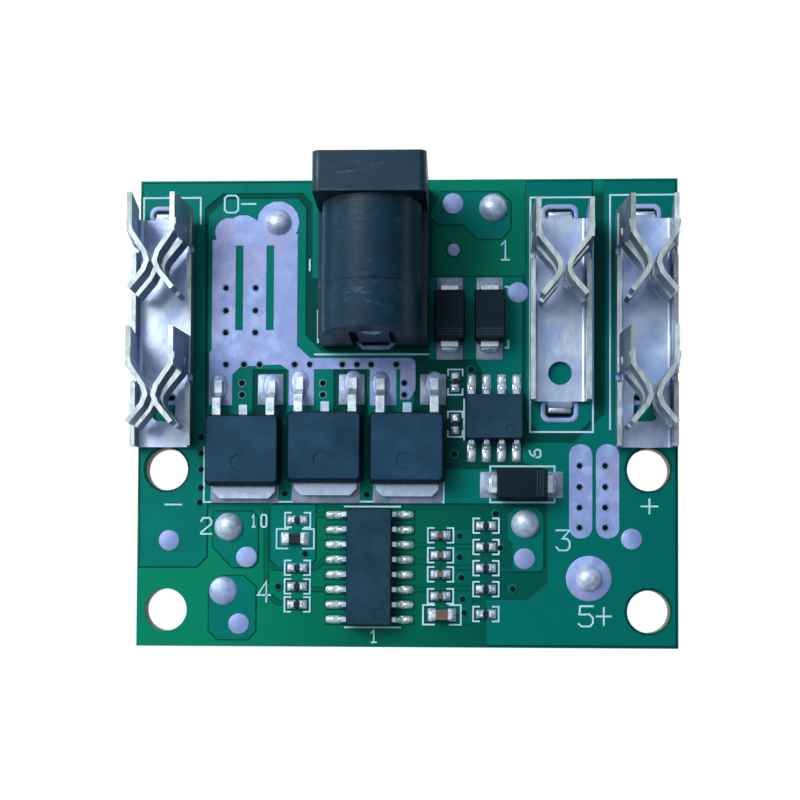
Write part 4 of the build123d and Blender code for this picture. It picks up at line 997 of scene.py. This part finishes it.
def bracket_paths():
    """A bracket at each end of every chip."""
    for name in cad:
        if not name.startswith(("resistor_", "capacitor_")) or name.endswith("caps"):
            continue
        low, high = (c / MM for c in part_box(name))
        centre = (low + high) / 2
        caps = islands(name.split("_")[0] + "_end_caps")
        nearest = min(((a + b) / 2 - centre for a, b in caps), key=lambda v: v.length)
        upright = abs(nearest.y) > abs(nearest.x)
        big = min(high.x - low.x, high.y - low.y) > 0.7
        # Reach along and across the chip, and length of the bracket's arms
        a, b, back = (1.6, 0.83, 0.95) if big else (1.08, 0.62, 0.5)
        for sign in (-1, 1):
            corners = ((a - back, b), (a, b), (a, -b), (a - back, -b))
            yield [(centre.x + v, centre.y + sign * u) if upright else (centre.x + sign * u, centre.y + v)
                   for u, v in corners]


def legend():
    """All the ink: outlines, figures and the chips' brackets."""
    mesh = bmesh.new()
    strokes = [(path, STROKE) for path in (*LINES, *figure_paths())]
    strokes += [(path, STROKE * 0.9) for path in bracket_paths()]
    for number, (path, width) in enumerate(strokes, 1):
        ribbon(mesh, path, width, INK_TOP + INK_STEP * (number % 5))
    finish_piece("legend", mesh, "ink", smooth=False)


copper_edges()
masked_traces()
mask_rims()
pad_solder()
round_lands()
moulded_bodies()
diode_bands()
lead_solder()
chip_solder()
tap_domes()
leg_tongues()
open_vias()
masked_vias()
legend()


# Floor, light and camera

FLOOR_HALF = 1.2
FLOOR_GAP = 0.02
FLOOR_GLOW = 1.03
GLOW_SHARE = 0.96


def make_floor():
    """A plain floor, white to the camera and in mirrors, which keeps a share of the object's shadow."""
    mesh = bmesh.new()
    bmesh.ops.create_grid(mesh, x_segments=2, y_segments=2, size=FLOOR_HALF)
    data = bpy.data.meshes.new("floor")
    mesh.to_mesh(data)
    mesh.free()
    floor = bpy.data.objects.new("floor", data)
    floor.location.z = (LEG_TIP - FLOOR_GAP) * MM
    bpy.context.scene.collection.objects.link(floor)
    f = Finish("floor_white", rough=0.9, specular=0.1)
    f.set(f.mix(f.ramp(f.noise(40.0), 0.0, 1.0), linear((240, 242, 244)), linear((246, 248, 250))))
    glow = f.add("ShaderNodeEmission", {"Color": (1, 1, 1, 1), "Strength": FLOOR_GLOW}).outputs["Emission"]
    rays = f.add("ShaderNodeLightPath", {})
    seen = rays.outputs["Is Camera Ray"]
    for other in ("Is Glossy Ray", "Is Transmission Ray"):
        seen = maths(f.tree, "MAXIMUM", seen, rays.outputs[other])
    both = f.add("ShaderNodeMixShader", {0: f.times(seen, GLOW_SHARE), 1: f.shader.outputs["BSDF"], 2: glow})
    f.tree.links.new(both.outputs["Shader"], f.out.inputs["Surface"])
    floor.data.materials.append(f.material)


SKY_WAY = (-0.55, 0.35, 0.76)
SKY_STRENGTH = 1.12
# Nearness to the sky's brightest way, and the light there
SKY_TONES = (
    (0.0, (0.03, 0.04, 0.05, 1)), (0.35, (0.08, 0.1, 0.12, 1)),
    (0.72, (0.42, 0.48, 0.56, 1)), (1.0, (0.94, 0.98, 1.0, 1)),
)
# Mirrored rays see white below the first height of the sky, and the studio above the second
HORIZON = (0.12, 0.2)


def make_world():
    """Soft studio light, brightest from the upper left, over a white background all round."""
    world = bpy.data.worlds.new("studio")
    world.use_nodes = True
    tree = world.node_tree
    tree.nodes.clear()

    def add(kind, inputs, **settings):
        return add_node(tree, kind, inputs, **settings)

    way = add("ShaderNodeTexCoord", {}).outputs["Generated"]
    toward = add("ShaderNodeVectorMath", {0: way, 1: Vector(SKY_WAY).normalized()}, operation="DOT_PRODUCT")
    ramp = add("ShaderNodeValToRGB", {"Fac": toward.outputs["Value"]})
    stops = ramp.color_ramp.elements
    stops[0].color, stops[1].color = SKY_TONES[0][1], SKY_TONES[-1][1]
    for place, tone in SKY_TONES[1:-1]:
        stops.new(place).color = tone
    lit = add("ShaderNodeBackground", {"Color": ramp.outputs["Color"], "Strength": SKY_STRENGTH})
    white = add("ShaderNodeBackground", {"Color": (1, 1, 1, 1), "Strength": 1.0})
    rays = add("ShaderNodeLightPath", {})
    height = add("ShaderNodeSeparateXYZ", {"Vector": way}).outputs["Z"]
    around = add("ShaderNodeMapRange", {
        "Value": height, "From Min": HORIZON[0], "From Max": HORIZON[1], "To Min": 1.0, "To Max": 0.0})
    mirrored = maths(tree, "MAXIMUM", rays.outputs["Is Glossy Ray"], rays.outputs["Is Transmission Ray"])
    mirrored = maths(tree, "MULTIPLY", mirrored, around.outputs["Result"])
    seen = maths(tree, "MAXIMUM", rays.outputs["Is Camera Ray"], mirrored)
    both = add("ShaderNodeMixShader", {0: seen, 1: lit.outputs[0], 2: white.outputs[0]})
    add("ShaderNodeOutputWorld", {"Surface": both.outputs["Shader"]})
    bpy.context.scene.world = world


def lamp(name, place, aim, size, power, tone):
    """A soft rectangular lamp, placed and sized in millimetres."""
    data = bpy.data.lights.new(name, "AREA")
    data.shape = "RECTANGLE"
    data.size, data.size_y = (s * MM for s in size)
    data.energy = power
    data.color = tone
    light = bpy.data.objects.new(name, data)
    light.location = Vector(place) * MM
    light.rotation_mode = "QUATERNION"
    light.rotation_quaternion = (Vector(aim) - Vector(place)).to_track_quat("-Z", "Y")
    bpy.context.scene.collection.objects.link(light)


CAMERA = Vector((4.1425, -4.6269, 125.0))
TARGET = Vector((-0.5012, -0.344, 1.6))
ROLL = 0.0047
LENS = 65.423
SENSOR = 36.0
SHIFT_Y = 0.18


def make_camera():
    """The photograph's camera: nearly straight down, and shifted because the lens stood off the middle."""
    data = bpy.data.cameras.new("camera")
    data.lens = LENS
    data.sensor_width = SENSOR
    data.shift_y = SHIFT_Y
    data.clip_start = 0.005
    data.clip_end = 5.0
    camera = bpy.data.objects.new("camera", data)
    forward = (TARGET - CAMERA).normalized()
    right = forward.cross(Vector((0, 1, 0))).normalized()
    up = right.cross(forward)
    turned_right = right * math.cos(ROLL) + up * math.sin(ROLL)
    turned_up = up * math.cos(ROLL) - right * math.sin(ROLL)
    axes = Matrix((turned_right, turned_up, -forward)).transposed().to_4x4()
    camera.matrix_world = Matrix.Translation(CAMERA * MM) @ axes
    bpy.context.scene.collection.objects.link(camera)
    bpy.context.scene.camera = camera


make_floor()
make_world()
lamp("key", place=(-150, 110, 210), aim=(0, 8, 0), size=(150, 130), power=0.52, tone=(1.0, 1.0, 1.0))
lamp("fill", place=(200, -110, 220), aim=(0, 8, 0), size=(200, 200), power=0.025, tone=(0.93, 0.97, 1.0))
make_camera()
bpy.context.scene.view_settings.view_transform = "Standard"
